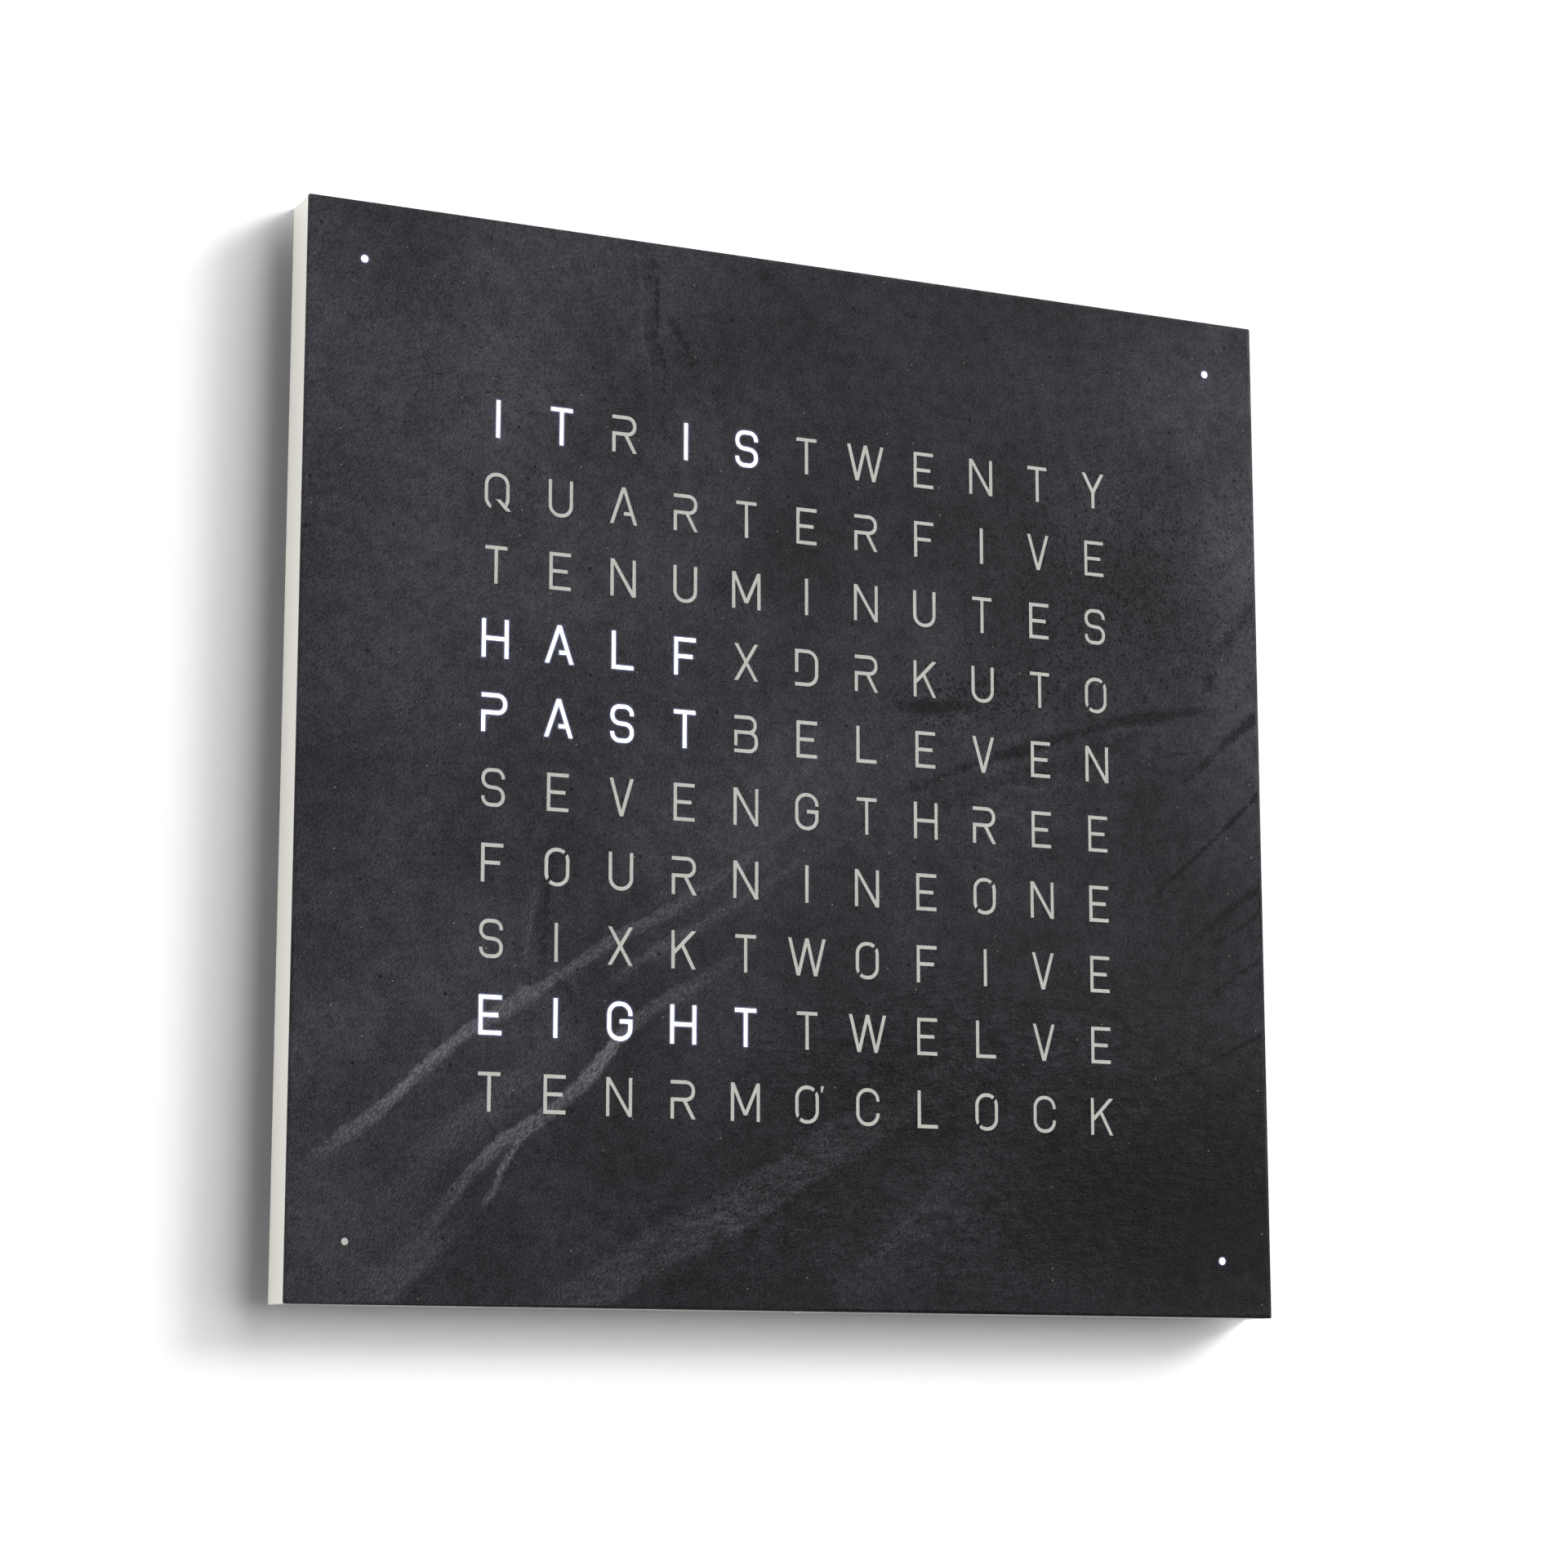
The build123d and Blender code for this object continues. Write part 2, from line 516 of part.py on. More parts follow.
# ---- lights --------------------------------------------------------------------------------------------------------
def letter_lights():
    screws = grid_screw_places()
    hole = SCREW_R + SCREW_CLEAR
    board = block(-BOARD_HALF_X, BOARD_HALF_X, -BOARD_HALF_Z, BOARD_HALF_Z, BOARD_H, LIGHTS_H)
    board -= [rod(x, z, hole, BOARD_H, LIGHTS_H) for x, z in screws]
    save("light_board", board)
    led = block_at(0, 0, LED_W, LED_W, LIGHTS_H, LIGHTS_H + LED_T)
    led -= rod(0, 0, LED_LENS_R, LIGHTS_H + LED_T - LED_LENS_SINK, LIGHTS_H + LED_T)
    save("letter_leds", [led.moved(Pos(x, 0, z)) for _, x, z, _ in letter_cells()])
    cell = Rectangle(PITCH_X - GRID_WALL, PITCH_Z - GRID_WALL).face().outer_wire()
    cells = [cell.moved(Pos(x, z)) for _, x, z, _ in letter_cells()]
    frame = Rectangle(2 * GRID_HALF_X, 2 * GRID_HALF_Z).face().outer_wire()
    grid = slab(Face(frame, cells), LIGHTS_H, GRID_TOP_H)
    for x, z in screws:
        on_side = abs(x) > GRID_HALF_X
        ear_x, ear_z = (BOARD_EDGE, EAR_W) if on_side else (EAR_W, BOARD_EDGE)
        grid += block_at(x, z, ear_x, ear_z, LIGHTS_H, LIGHTS_H + EAR_T) - rod(
            x, z, hole, LIGHTS_H, LIGHTS_H + EAR_T)
    save("light_grid", grid)
    save("light_board_spacers", [tube(x, z, SPACER_R, hole, FLOOR_H, BOARD_H) for x, z in screws])
    tip = FLOOR_H - SCREW_BITE
    save("light_board_screws", [pan_screw(x, z, LIGHTS_H + EAR_T, tip) for x, z in screws])
    save("led_drivers", [block_at(i * DRIVER_X, k * DRIVER_Z, DRIVER_W, DRIVER_L,
                                  BOARD_H - DRIVER_T, BOARD_H) for i, k in CORNERS])


def minute_lights():
    screws = dot_screw_places()
    hole = SCREW_R + SCREW_CLEAR
    boards, leads = [], []
    lead_start = BOARD_HALF_X - LEAD_LAP
    lead_end = DOT - (DOT_TUBE_R + LEAD_W) / 2 ** 0.5
    for i, k in CORNERS:
        boards.append(block_at(i * DOT, k * DOT, DOT_BOARD_W, DOT_BOARD_W, BOARD_H, LIGHTS_H)
                      - [rod(x, z, hole, BOARD_H, LIGHTS_H) for x, z in screws])
        strip = trace(Line((i * lead_start, k * (BOARD_HALF_Z - LEAD_LAP)), (i * lead_end, k * lead_end)),
                      line_width=LEAD_W)
        leads.append(slab(strip, LIGHTS_H, LIGHTS_H + LEAD_T))
    save("minute_boards", boards)
    save("minute_leads", leads)
    save("minute_leds", [block_at(i * DOT, k * DOT, DOT_LED_W, DOT_LED_W, LIGHTS_H, LIGHTS_H + DOT_LED_T)
                         for i, k in CORNERS])
    save("minute_light_tubes", [tube(i * DOT, k * DOT, DOT_TUBE_R, DOT_TUBE_R - DOT_TUBE_WALL,
                                     LIGHTS_H, GRID_TOP_H) for i, k in CORNERS])
    save("minute_board_spacers", [tube(x, z, SPACER_R, hole, FLOOR_H, BOARD_H) for x, z in screws])
    save("minute_board_screws", [pan_screw(x, z, LIGHTS_H, FLOOR_H - SCREW_BITE) for x, z in screws])


# ---- electronics ---------------------------------------------------------------------------------------------------
def controller():
    screws = control_screw_places()
    hole = SCREW_R + SCREW_CLEAR
    board_top = CONTROL_H + BOARD_T
    notch = PLUG_ROOM_W / 2 + PLUG_WALL + NOTCH_CLEAR
    board = block(CONTROL_LEFT, CONTROL_RIGHT, CONTROL_Z0, CONTROL_Z1, CONTROL_H, board_top)
    board -= block(-notch, notch, CONTROL_Z0, PLUG_Z + JACK_GAP, CONTROL_H, board_top)
    board -= [rod(x, z, hole, CONTROL_H, board_top) for x, z in screws]
    save("controller_board", board)
    save("controller_spacers", [tube(x, z, SPACER_R, hole, FLOOR_H, CONTROL_H) for x, z in screws])
    save("controller_screws", [pan_screw(x, z, board_top, FLOOR_H - SCREW_BITE) for x, z in screws])
    save("controller_chip", chamfer(
        block_at(CHIP_X, CHIP_Z, CHIP_W, CHIP_W, CONTROL_H - CHIP_T, CONTROL_H)
        .edges().filter_by(Axis.Y), 0.08 * CHIP_W))
    save("clock_crystal", upright(CRYSTAL_X, CONTROL_H - CRYSTAL_R, CRYSTAL_R, CHIP_Z - CRYSTAL_L / 2,
                                  CHIP_Z + CRYSTAL_L / 2))
    save("power_regulator", block_at(REGULATOR_X, REGULATOR_Z, REGULATOR_W, REGULATOR_W,
                                     CONTROL_H - REGULATOR_T, CONTROL_H))
    save("power_capacitor", rod(CAPACITOR_X, CAPACITOR_Z, CAPACITOR_R,
                                CONTROL_H - CAPACITOR_L, CONTROL_H))


def power_inlet():
    face = PLUG_Z + JACK_GAP
    jack = block(-JACK_W / 2, JACK_W / 2, face, face + JACK_L, FLOOR_H, CONTROL_H)
    jack -= upright(0, JACK_H, JACK_BORE_R, face, face + JACK_BORE_L)
    save("power_inlet", jack)
    save("power_inlet_pin", upright(0, JACK_H, JACK_PIN_R, face + JACK_BORE_L - JACK_PIN_L, face + JACK_BORE_L))


def clock_battery():
    base_h = CONTROL_H - HOLDER_FLOOR
    holder = block_at(CELL_X, CELL_Z, HOLDER_W, HOLDER_W, CONTROL_H - HOLDER_T, CONTROL_H)
    holder -= rod(CELL_X, CELL_Z, CELL_R + HOLDER_GAP, CONTROL_H - HOLDER_T, base_h)
    save("cell_holder", holder)
    cell = rod(CELL_X, CELL_Z, CELL_R, base_h - CELL_T, base_h)
    save("coin_cell", chamfer(cell.edges().group_by(Axis.Y)[0], 0.1 * CELL_T))
    clip_h = CONTROL_H - HOLDER_T
    clip = block_at(CELL_X, CELL_Z, HOLDER_W, CLIP_W, clip_h - CLIP_T, clip_h)
    spring = block_at(CELL_X, CELL_Z, CELL_R, CLIP_W, clip_h, base_h - CELL_T)
    save("battery_clip", clip + spring)


def push_buttons():
    cap_low = BUTTON_SINK
    flange_low = SERVICE_PLATE_H + BUTTON_RUN
    flange_high = flange_low + BUTTON_FLANGE_T
    stem_high = SWITCH_H + STEM_IN_SWITCH
    bases = []
    for name, x in BUTTONS.items():
        base = block_at(x, BUTTON_Z, SWITCH_W, SWITCH_W, SWITCH_H, CONTROL_H)
        bases.append(base - rod(x, BUTTON_Z, STEM_R + BUTTON_RUN, SWITCH_H, SWITCH_H + SWITCH_BORE_L))
        cap = rod(x, BUTTON_Z, BUTTON_R, cap_low, flange_low) + rod(
            x, BUTTON_Z, BUTTON_FLANGE_R, flange_low, flange_high)
        save(f"{name}_button", chamfer(cap.edges().group_by(Axis.Y)[-1], 0.1 * BUTTON_R))
        save(f"{name}_switch_stem", rod(x, BUTTON_Z, STEM_R, flange_high, stem_high))
    save("switch_bases", bases)


def service_cover():
    plate = block_at(SERVICE_X, SERVICE_Z, SERVICE_W + 2 * SERVICE_LAP, SERVICE_L + 2 * SERVICE_LAP,
                     SERVICE_SINK, SERVICE_PLATE_H)
    plate -= [flush_hole(x, z, SERVICE_SINK, SERVICE_PLATE_H, THREAD_FIT) for x, z in service_screw_places()]
    plate -= [rod(x, BUTTON_Z, BUTTON_R + BUTTON_RUN, SERVICE_SINK, SERVICE_PLATE_H)
              for x in BUTTONS.values()]
    save("service_cover", plate)
    save("service_cover_screws", [flush_screw(x, z, SERVICE_SINK, SERVICE_SINK + SERVICE_SCREW_L)
                                  for x, z in service_screw_places()])


def ribbon():
    low_z = CONTROL_Z1 - HEADER_IN
    high_z = -BOARD_HALF_Z + HEADER_IN
    tall = block(RIBBON_X - HEADER_W / 2, RIBBON_X + HEADER_W / 2, low_z - HEADER_L, low_z,
                 CONTROL_H - TALL_HEADER_T, CONTROL_H)
    low = block(RIBBON_X - HEADER_W / 2, RIBBON_X + HEADER_W / 2, high_z, high_z + HEADER_L,
                BOARD_H - LOW_HEADER_T, BOARD_H)
    save("ribbon_headers", [tall, low])
    start_h = CONTROL_H - TALL_HEADER_T / 2
    end_h = BOARD_H - LOW_HEADER_T / 2
    third = (high_z - low_z) / 3
    path = FilletPolyline((-start_h, low_z), (-start_h, low_z + third), (-end_h, high_z - third),
                          (-end_h, high_z), radius=RIBBON_BEND)
    side = Plane.YZ.offset(RIBBON_X - RIBBON_W / 2) * trace(path, line_width=RIBBON_T)
    save("ribbon_cable", extrude(side, amount=RIBBON_W))


def light_sensor():
    height = CONTROL_H - SENSOR_T / 2
    save("light_sensor", block(SENSOR_X - SENSOR_W / 2, SENSOR_X + SENSOR_W / 2, -CAVITY + COVER_GAP,
                               CONTROL_Z0 + SENSOR_W, CONTROL_H - SENSOR_T, CONTROL_H))
    save("sensor_light_pipe", upright(SENSOR_X, height, LIGHT_PIPE_R, -HALF, -CAVITY))


# ---- wall hangers --------------------------------------------------------------------------------------------------
def hangers():
    screws = []
    for side, x in hanger_places().items():
        plate = block_at(x, HANGER_Z, HANGER_W, HANGER_L, HANGER_SINK, HANGER_PLATE_H)
        entry_z = HANGER_Z - KEYHOLE_DROP
        slot_z = HANGER_Z + KEYSLOT_RISE
        plate -= rod(x, entry_z, KEYHOLE_R, HANGER_SINK, HANGER_PLATE_H)
        plate -= block(x - KEYSLOT_R, x + KEYSLOT_R, entry_z, slot_z, HANGER_SINK, HANGER_PLATE_H)
        plate -= rod(x, slot_z, KEYSLOT_R, HANGER_SINK, HANGER_PLATE_H)
        plate -= [flush_hole(px, pz, HANGER_SINK, HANGER_PLATE_H, THREAD_FIT)
                  for px, pz in hanger_screw_places(x)]
        save(f"hanger_plate_{side}", plate)
        screws += [flush_screw(px, pz, HANGER_SINK, HANGER_PLATE_H + 2 * SCREW_BITE)
                   for px, pz in hanger_screw_places(x)]
    save("hanger_screws", screws)


os.makedirs("parts", exist_ok=True)
front_cover()
tray()
letter_lights()
minute_lights()
controller()
power_inlet()
clock_battery()
push_buttons()
service_cover()
ribbon()
light_sensor()
hangers()
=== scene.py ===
"""Looks of a wall word clock: a slate-faced cover on a cream lacquered tray, and all that the tray holds.

Metres, in the clock's own frame: +X is to the right of someone facing it, +Z is up, the wall is the plane
Y = 0 and the front surface is at Y = -0.020.
"""

import logging
import math
from dataclasses import dataclass, field, replace
from enum import Enum

import bmesh
import bpy
import numpy as np
from mathutils import Matrix, Vector, geometry, kdtree, noise
from mathutils.bvhtree import BVHTree


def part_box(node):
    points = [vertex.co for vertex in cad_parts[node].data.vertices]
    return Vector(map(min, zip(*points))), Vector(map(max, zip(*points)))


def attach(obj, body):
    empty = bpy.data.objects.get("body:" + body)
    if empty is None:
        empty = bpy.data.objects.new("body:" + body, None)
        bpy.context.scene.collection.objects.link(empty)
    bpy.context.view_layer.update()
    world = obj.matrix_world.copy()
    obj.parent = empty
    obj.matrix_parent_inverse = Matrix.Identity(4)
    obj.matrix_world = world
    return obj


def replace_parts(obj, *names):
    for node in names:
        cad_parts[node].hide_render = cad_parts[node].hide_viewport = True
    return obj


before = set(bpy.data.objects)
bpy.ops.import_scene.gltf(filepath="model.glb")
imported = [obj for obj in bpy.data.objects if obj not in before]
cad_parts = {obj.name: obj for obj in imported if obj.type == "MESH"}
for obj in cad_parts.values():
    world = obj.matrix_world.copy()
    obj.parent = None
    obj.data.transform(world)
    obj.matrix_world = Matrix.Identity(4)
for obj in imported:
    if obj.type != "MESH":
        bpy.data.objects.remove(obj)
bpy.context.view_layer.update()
LOG = logging.getLogger("word_clock")

MM = 0.001
WELD = 1e-6                                  # metres within which two points are one
TINY = 1e-6                                  # stands in for 0 in a division
TO_FRONT = -0.9                              # a face whose normal's Y is below this looks to the front
FRONT_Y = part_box("slate_face")[0].y          # plane of the slate's front
HALF_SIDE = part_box("slate_face")[1].x
COVER, WALL_UNIT = "front_cover", "wall_unit"
KEYS = ("mode", "minus", "plus")
SLOTS = {name: node.material_slots[0].material.name.split(".")[0] for name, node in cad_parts.items()}

Point = tuple[float, float]
Triple = tuple[float, float, float]
Socket = bpy.types.NodeSocket

# Settings of shader nodes that come up again and again. A Map Range takes the value as input 0, its range as
# 1 and 2 and what that becomes as 3 and 4. A Mix takes its second colour's share as 0 and the colours as 6
# and 7, and gives the mixed one as output 2
SMOOTH = {"interpolation_type": "SMOOTHSTEP"}
COLOURS = {"data_type": "RGBA"}
TIMES = {"operation": "MULTIPLY"}
PLUS = {"operation": "ADD"}
LESS = {"operation": "SUBTRACT"}
HIGHEST = {"operation": "MAXIMUM"}
ON_FRONT = (math.pi / 2, 0, 0)               # turns the plane of the front into X and Y


def linear(code: str) -> tuple[float, float, float, float]:
    """Turn an sRGB hex colour into the linear one that shaders take.

    Args:
        code: six hex digits, such as "3a393c".

    Returns:
        Red, green, blue and alpha.
    """
    parts = [int(code[i:i + 2], 16) / 255 for i in (0, 2, 4)]
    red, green, blue = (c / 12.92 if c <= 0.04045 else ((c + 0.055) / 1.055) ** 2.4 for c in parts)
    return red, green, blue, 1.0


class Mark(Enum):
    """What a vein or a zone does to the stone; the value names the point attribute that it is kept in."""

    PALE = "pale"
    DARK = "dark"
    PITS = "pits"
    RIPPLE = "ripple"
    # Zones where the stone is darker or lighter, with a painted sheen along its upper right edge
    LIGHT = "light"


# The stone's painted glow follows this nearness
GLOW = "glow"    # point attribute: nearness of a lit letter


# ---- materials -----------------------------------------------------------------------------------
def add_node(tree: bpy.types.NodeTree, kind: str, inputs: dict | None = None, out: int | str = 0,
             **settings: str | bool) -> Socket:
    """Add one shader node with its settings and links.

    Args:
        tree: the material's or the world's nodes.
        kind: the node's type, without "ShaderNode".
        inputs: a socket to link, a hex colour, a plain value or None, by the input's name or number.
        out: name or number of the output that is wanted.
        settings: the node's own options.

    Returns:
        That output, whose .node is the node.
    """
    node = tree.nodes.new(f"ShaderNode{kind}")
    for key, value in settings.items():
        setattr(node, key, value)
    for key, value in (inputs or {}).items():
        if isinstance(value, Socket):
            tree.links.new(value, node.inputs[key])
        elif value is not None:
            node.inputs[key].default_value = linear(value) if isinstance(value, str) else value
    return node.outputs[out]


def showing_rays(tree: bpy.types.NodeTree) -> Socket:
    """Tell the rays that show a background, from the camera, off gloss and through glass, from the others.

    Args:
        tree: the material's or the world's nodes.

    Returns:
        1 for a ray that shows, 0 for one that lights.
    """
    rays = add_node(tree, "LightPath").node.outputs
    seen = rays["Is Camera Ray"]
    for name in ("Is Glossy Ray", "Is Transmission Ray"):
        seen = add_node(tree, "Math", {0: seen, 1: rays[name]}, **HIGHEST)
    return seen


@dataclass(frozen=True)
class Finish:
    """Plain facts of a surface, set straight on the shader."""

    colour: str
    roughness: float = 0.5
    metallic: float = 0.0
    specular: float = 0.5
    ior: float = 1.5
    coat: float = 0.0
    coat_roughness: float = 0.1
    transmission: float = 0.0


class Shader:
    """A Principled material under construction; its texture space is the object's own, in millimetres."""

    def __init__(self, name: str, finish: Finish) -> None:
        """Start the material with its finish.

        Args:
            name: the material's name.
            finish: the plain facts for the shader's own sockets.
        """
        self.material = bpy.data.materials.new(name)
        self.material.use_nodes = True
        self.material.diffuse_color = linear(finish.colour)
        self.tree = self.material.node_tree
        self.surface = self.tree.nodes["Principled BSDF"].inputs
        values = {
            "Base Color": linear(finish.colour), "Roughness": finish.roughness, "Metallic": finish.metallic,
            "Specular IOR Level": finish.specular, "IOR": finish.ior, "Coat Weight": finish.coat,
            "Coat Roughness": finish.coat_roughness, "Transmission Weight": finish.transmission,
        }
        for socket, value in values.items():
            self.surface[socket].default_value = value
        metres = self.add("TexCoord", out="Object")
        self.place = self.add("VectorMath", {0: metres, 1: (1 / MM,) * 3}, **TIMES)

    def add(self, kind: str, inputs: dict | None = None, out: int | str = 0,
            **settings: str | bool) -> Socket:
        """Add one node to this material, as add_node says."""
        return add_node(self.tree, kind, inputs, out, **settings)

    def set(self, socket: str, value: Socket) -> None:
        """Link a varying value to the Principled shader."""
        self.tree.links.new(value, self.surface[socket])

    def grain(self, size: float, detail: float = 3.0, rough: float = 0.55, climb: float = 0.0,
              stretch: float = 1.0) -> Socket:
        """Random grain, even or drawn out into streaks.

        Args:
            size: about how large its largest features are, in millimetres.
            detail: how many finer layers it has.
            rough: how strong the finer layers are.
            climb: degrees from +X towards +Z of the line that the streaks follow.
            stretch: how many times longer than wide they are.

        Returns:
            A value from 0 to 1.
        """
        where = self.place
        if stretch != 1.0:
            where = self.add("Mapping", {"Vector": where, "Rotation": (0, -math.radians(climb), 0),
                                         "Scale": (stretch, 1, 1)}, vector_type="TEXTURE")
        return self.add("TexNoise", {"Vector": where, "Scale": 1 / size, "Detail": detail,
                                     "Roughness": rough}, "Fac")

    def shade(self, colour: Socket | str, value: Socket, low: float, high: float) -> Socket:
        """Make a colour darker and lighter.

        Args:
            colour: a socket or a hex code.
            value: what it follows, from 0 to 1.
            low: what the colour is multiplied by where the value is 0.
            high: the same where the value is 1.

        Returns:
            The shaded colour.
        """
        gain = self.add("MapRange", {0: value, 3: low, 4: high}, clamp=False)
        start = colour if isinstance(colour, Socket) else linear(colour)[:3]
        return self.add("VectorMath", {0: start, 3: gain}, operation="SCALE")

    def vary(self, colour: Socket | str, grain: Socket, share: float) -> Socket:
        """Make a colour darker and lighter by up to share, as a grain wanders about its middle."""
        spread = self.add("MapRange", {0: grain, 1: 0.3, 2: 0.7}, **SMOOTH)
        return self.shade(colour, spread, 1 - share, 1 + share)

    def spots(self, apart: float, radius: float, share: float) -> Socket:
        """Rare round spots on the plane of the front.

        Args:
            apart: size in millimetres of the cells that may each hold a spot.
            radius: size of a spot in millimetres.
            share: how many of the cells hold one, from 0 to 1.

        Returns:
            1 inside a spot and 0 elsewhere.
        """
        flat = self.add("Mapping", {"Vector": self.place, "Rotation": ON_FRONT})
        away = self.add("TexVoronoi", {"Vector": flat, "Scale": 1 / apart}, "Distance",
                        voronoi_dimensions="2D")
        pick = self.add("SeparateColor", {0: away.node.outputs["Color"]})
        chosen = self.add("MapRange", {0: pick, 1: 1 - share, 2: 1 - share + 0.02}, **SMOOTH)
        size = radius / apart
        inside = self.add("MapRange", {0: away, 1: 1.25 * size, 2: 0.75 * size}, **SMOOTH)
        return self.add("Math", {0: inside, 1: chosen}, **TIMES)

    def relief(self, *layers: tuple[Socket, float]) -> None:
        """Give the surface its fine relief, one layer on top of the other.

        Args:
            layers: for each, a value from 0 to 1 and the height in millimetres that 1 stands for.
        """
        under = None
        for height, depth in layers:
            under = self.add("Bump", {"Height": height, "Distance": depth * MM, "Strength": 1.0,
                                      "Normal": under})
        self.set("Normal", under)


def slate() -> bpy.types.Material:
    """Slate split along its cleavage and brushed: matt and near black, with pale bands, dark veins and pits.

    Its grit is drawn as coarse as it needs to show, about 0.8 mm; the mica in real slate is ten times finer.

    Returns:
        The material, which reads the Mark attributes and GLOW.
    """
    shader = Shader("slate_stone", Finish("37363a", 0.6, specular=0.07, ior=1.55))
    add = shader.add
    marks = (add("Attribute", out="Fac", attribute_name=mark.value) for mark in Mark)
    pale, dark, pits, ripple, light = marks
    grain = shader.grain(0.8, rough=0.75)                              # grit
    strokes = shader.grain(0.62, rough=0.6, climb=57, stretch=3.8)     # brush strokes, 2 to 3 mm long
    drag = shader.grain(2.6, 4.0, 0.65, climb=40, stretch=4.0)         # breaks in the pale bands, 1 cm long
    mottle = shader.grain(6.0, 6.0, 0.66)                              # uneven splitting
    wave = shader.grain(7.0, 5.0, 0.6, climb=14, stretch=3.2)          # creases of folded beds, 2 cm long
    fold = shader.grain(4.0, 5.0, 0.65, climb=14, stretch=2.6)         # the folds between them
    speck = shader.grain(1.7, rough=0.6)                               # pits

    # Clouds of tone about a hand wide, then the zones that the stone is darker or lighter in, one of them a
    # painted sheen along the upper right edge
    cloud = add("MapRange", {0: shader.grain(70.0), 1: 0.3, 2: 0.7}, **SMOOTH)
    body = add("Mix", {0: cloud, 6: "2f2e32", 7: "403f45"}, 2, **COLOURS)
    body = shader.vary(shader.vary(body, mottle, 0.2), strokes, 0.36)
    body = shader.shade(body, light, 1.0, 2.0)

    # Pale cleavage bands, broken up along their length
    fine = add("MapRange", {0: strokes, 1: 0.4, 2: 0.66, 3: 0.4, 4: 1.7}, **SMOOTH)
    coarse = add("MapRange", {0: drag, 1: 0.3, 2: 0.62, 3: 0.6, 4: 1.3}, **SMOOTH)
    pale_share = add("Math", {0: pale, 1: fine}, **TIMES)
    pale_share = add("Math", {0: pale_share, 1: coarse}, use_clamp=True, **TIMES)
    body = add("Mix", {0: pale_share, 6: body, 7: "7c7b82"}, 2, **COLOURS)

    # Dark veins with blotched edges
    blot = add("Math", {0: shader.grain(2.6, 6.0, 0.75), 1: 0.5}, **LESS)
    near_vein = add("MapRange", {0: dark, 1: 0.0, 2: 0.35, 3: 0.2, 4: 1.0}, **SMOOTH)
    blot = add("Math", {0: add("Math", {0: blot, 1: 1.9}, **TIMES), 1: near_vein}, **TIMES)
    dark_share = add("MapRange", {0: add("Math", {0: dark, 1: blot}, **PLUS), 1: 0.1, 2: 0.75}, **SMOOTH)
    body = add("Mix", {0: add("Math", {0: dark_share, 1: 0.82}, **TIMES), 6: body, 7: "121114"}, 2, **COLOURS)

    # Folded beds: painted light and shade on the slopes of the folds, and painted shade along the sunk crease at
    # each crest
    crest = add("Math", {0: add("Math", {0: wave, 1: 0.5}, **LESS)}, operation="ABSOLUTE")
    crest = add("MapRange", {0: crest, 1: 0.035, 2: 0.0}, **SMOOTH)
    shaded_crease = add("Math", {0: crest, 1: ripple}, use_clamp=True, **TIMES)
    lit_side = add("Math", {0: add("Math", {0: fold, 1: 0.5}, **LESS), 1: ripple}, **TIMES)
    body = shader.shade(body, lit_side, 1.0, 3.0)
    body = add("Mix", {0: add("Math", {0: shaded_crease, 1: 0.7}, **TIMES), 6: body, 7: "1b1a1c"}, 2, **COLOURS)

    # Pits where the marks say and a few anywhere, and rare rusty grains
    limit = add("Math", {0: 0.69, 1: add("Math", {0: pits, 1: 0.17}, **TIMES)}, **LESS)
    pit = add("MapRange", {0: add("Math", {0: speck, 1: limit}, **LESS), 1: 0.0, 2: 0.05}, **SMOOTH)
    pit = add("Math", {0: pit, 1: shader.spots(31.0, 0.8, 0.5)}, **HIGHEST)
    body = add("Mix", {0: add("Math", {0: pit, 1: 0.85}, **TIMES), 6: body, 7: "151416"}, 2, **COLOURS)
    rust = add("Math", {0: shader.spots(13.0, 0.3, 0.12), 1: 0.7}, **TIMES)
    body = add("Mix", {0: rust, 6: body, 7: "baab92"}, 2, **COLOURS)

    # Grit over it all, which shows on the darkest stone too
    grit = add("Math", {0: add("Math", {0: grain, 1: 0.5}, **LESS), 1: 0.1}, **TIMES)
    body = add("VectorMath", {0: shader.vary(body, grain, 0.22), 1: grit}, **PLUS)
    shader.set("Base Color", add("VectorMath", {0: body, 1: (0.004,) * 3}, **HIGHEST))
    shader.set("Roughness", add("MapRange", {0: mottle, 1: 0.2, 2: 0.8, 3: 0.7, 4: 0.52}, **SMOOTH))
    sunk = add("Math", {0: add("Math", {0: pit, 1: dark_share}, **HIGHEST), 1: shaded_crease}, **HIGHEST)
    raised = add("Math", {0: 1.0, 1: sunk}, **LESS)
    folds = add("Math", {0: fold, 1: ripple}, **TIMES)
    shader.relief((mottle, 0.16), (strokes, 0.05), (grain, 0.05), (folds, 1.9), (raised, 0.08))

    # Painted glow: the stone beside the lit letters emits a faint blue light of its own, standing in for the
    # light that they throw on it
    near = add("Math", {0: add("Attribute", out="Fac", attribute_name=GLOW), 1: 2.0}, operation="POWER")
    shader.surface["Emission Color"].default_value = linear("c4d0ff")
    shader.set("Emission Strength", add("Math", {0: near, 1: 0.55}, **TIMES))
    return shader.material


def letter_light() -> bpy.types.Material:
    """Cast opal resin with a lamp behind it: milky white, and a little cooler in places.

    Returns:
        The material.
    """
    shader = Shader("lit_opal_resin", Finish("f4f6ff", 0.45))
    glow = shader.add("Mix", {0: shader.grain(2.0, 2.0), 6: "eef2ff", 7: "ffffff"}, 2, **COLOURS)
    shader.set("Emission Color", glow)
    shader.surface["Emission Strength"].default_value = 1.6
    shader.set("Base Color", shader.shade("f4f6ff", shader.grain(0.4, 2.0), 0.9, 1.0))
    return shader.material


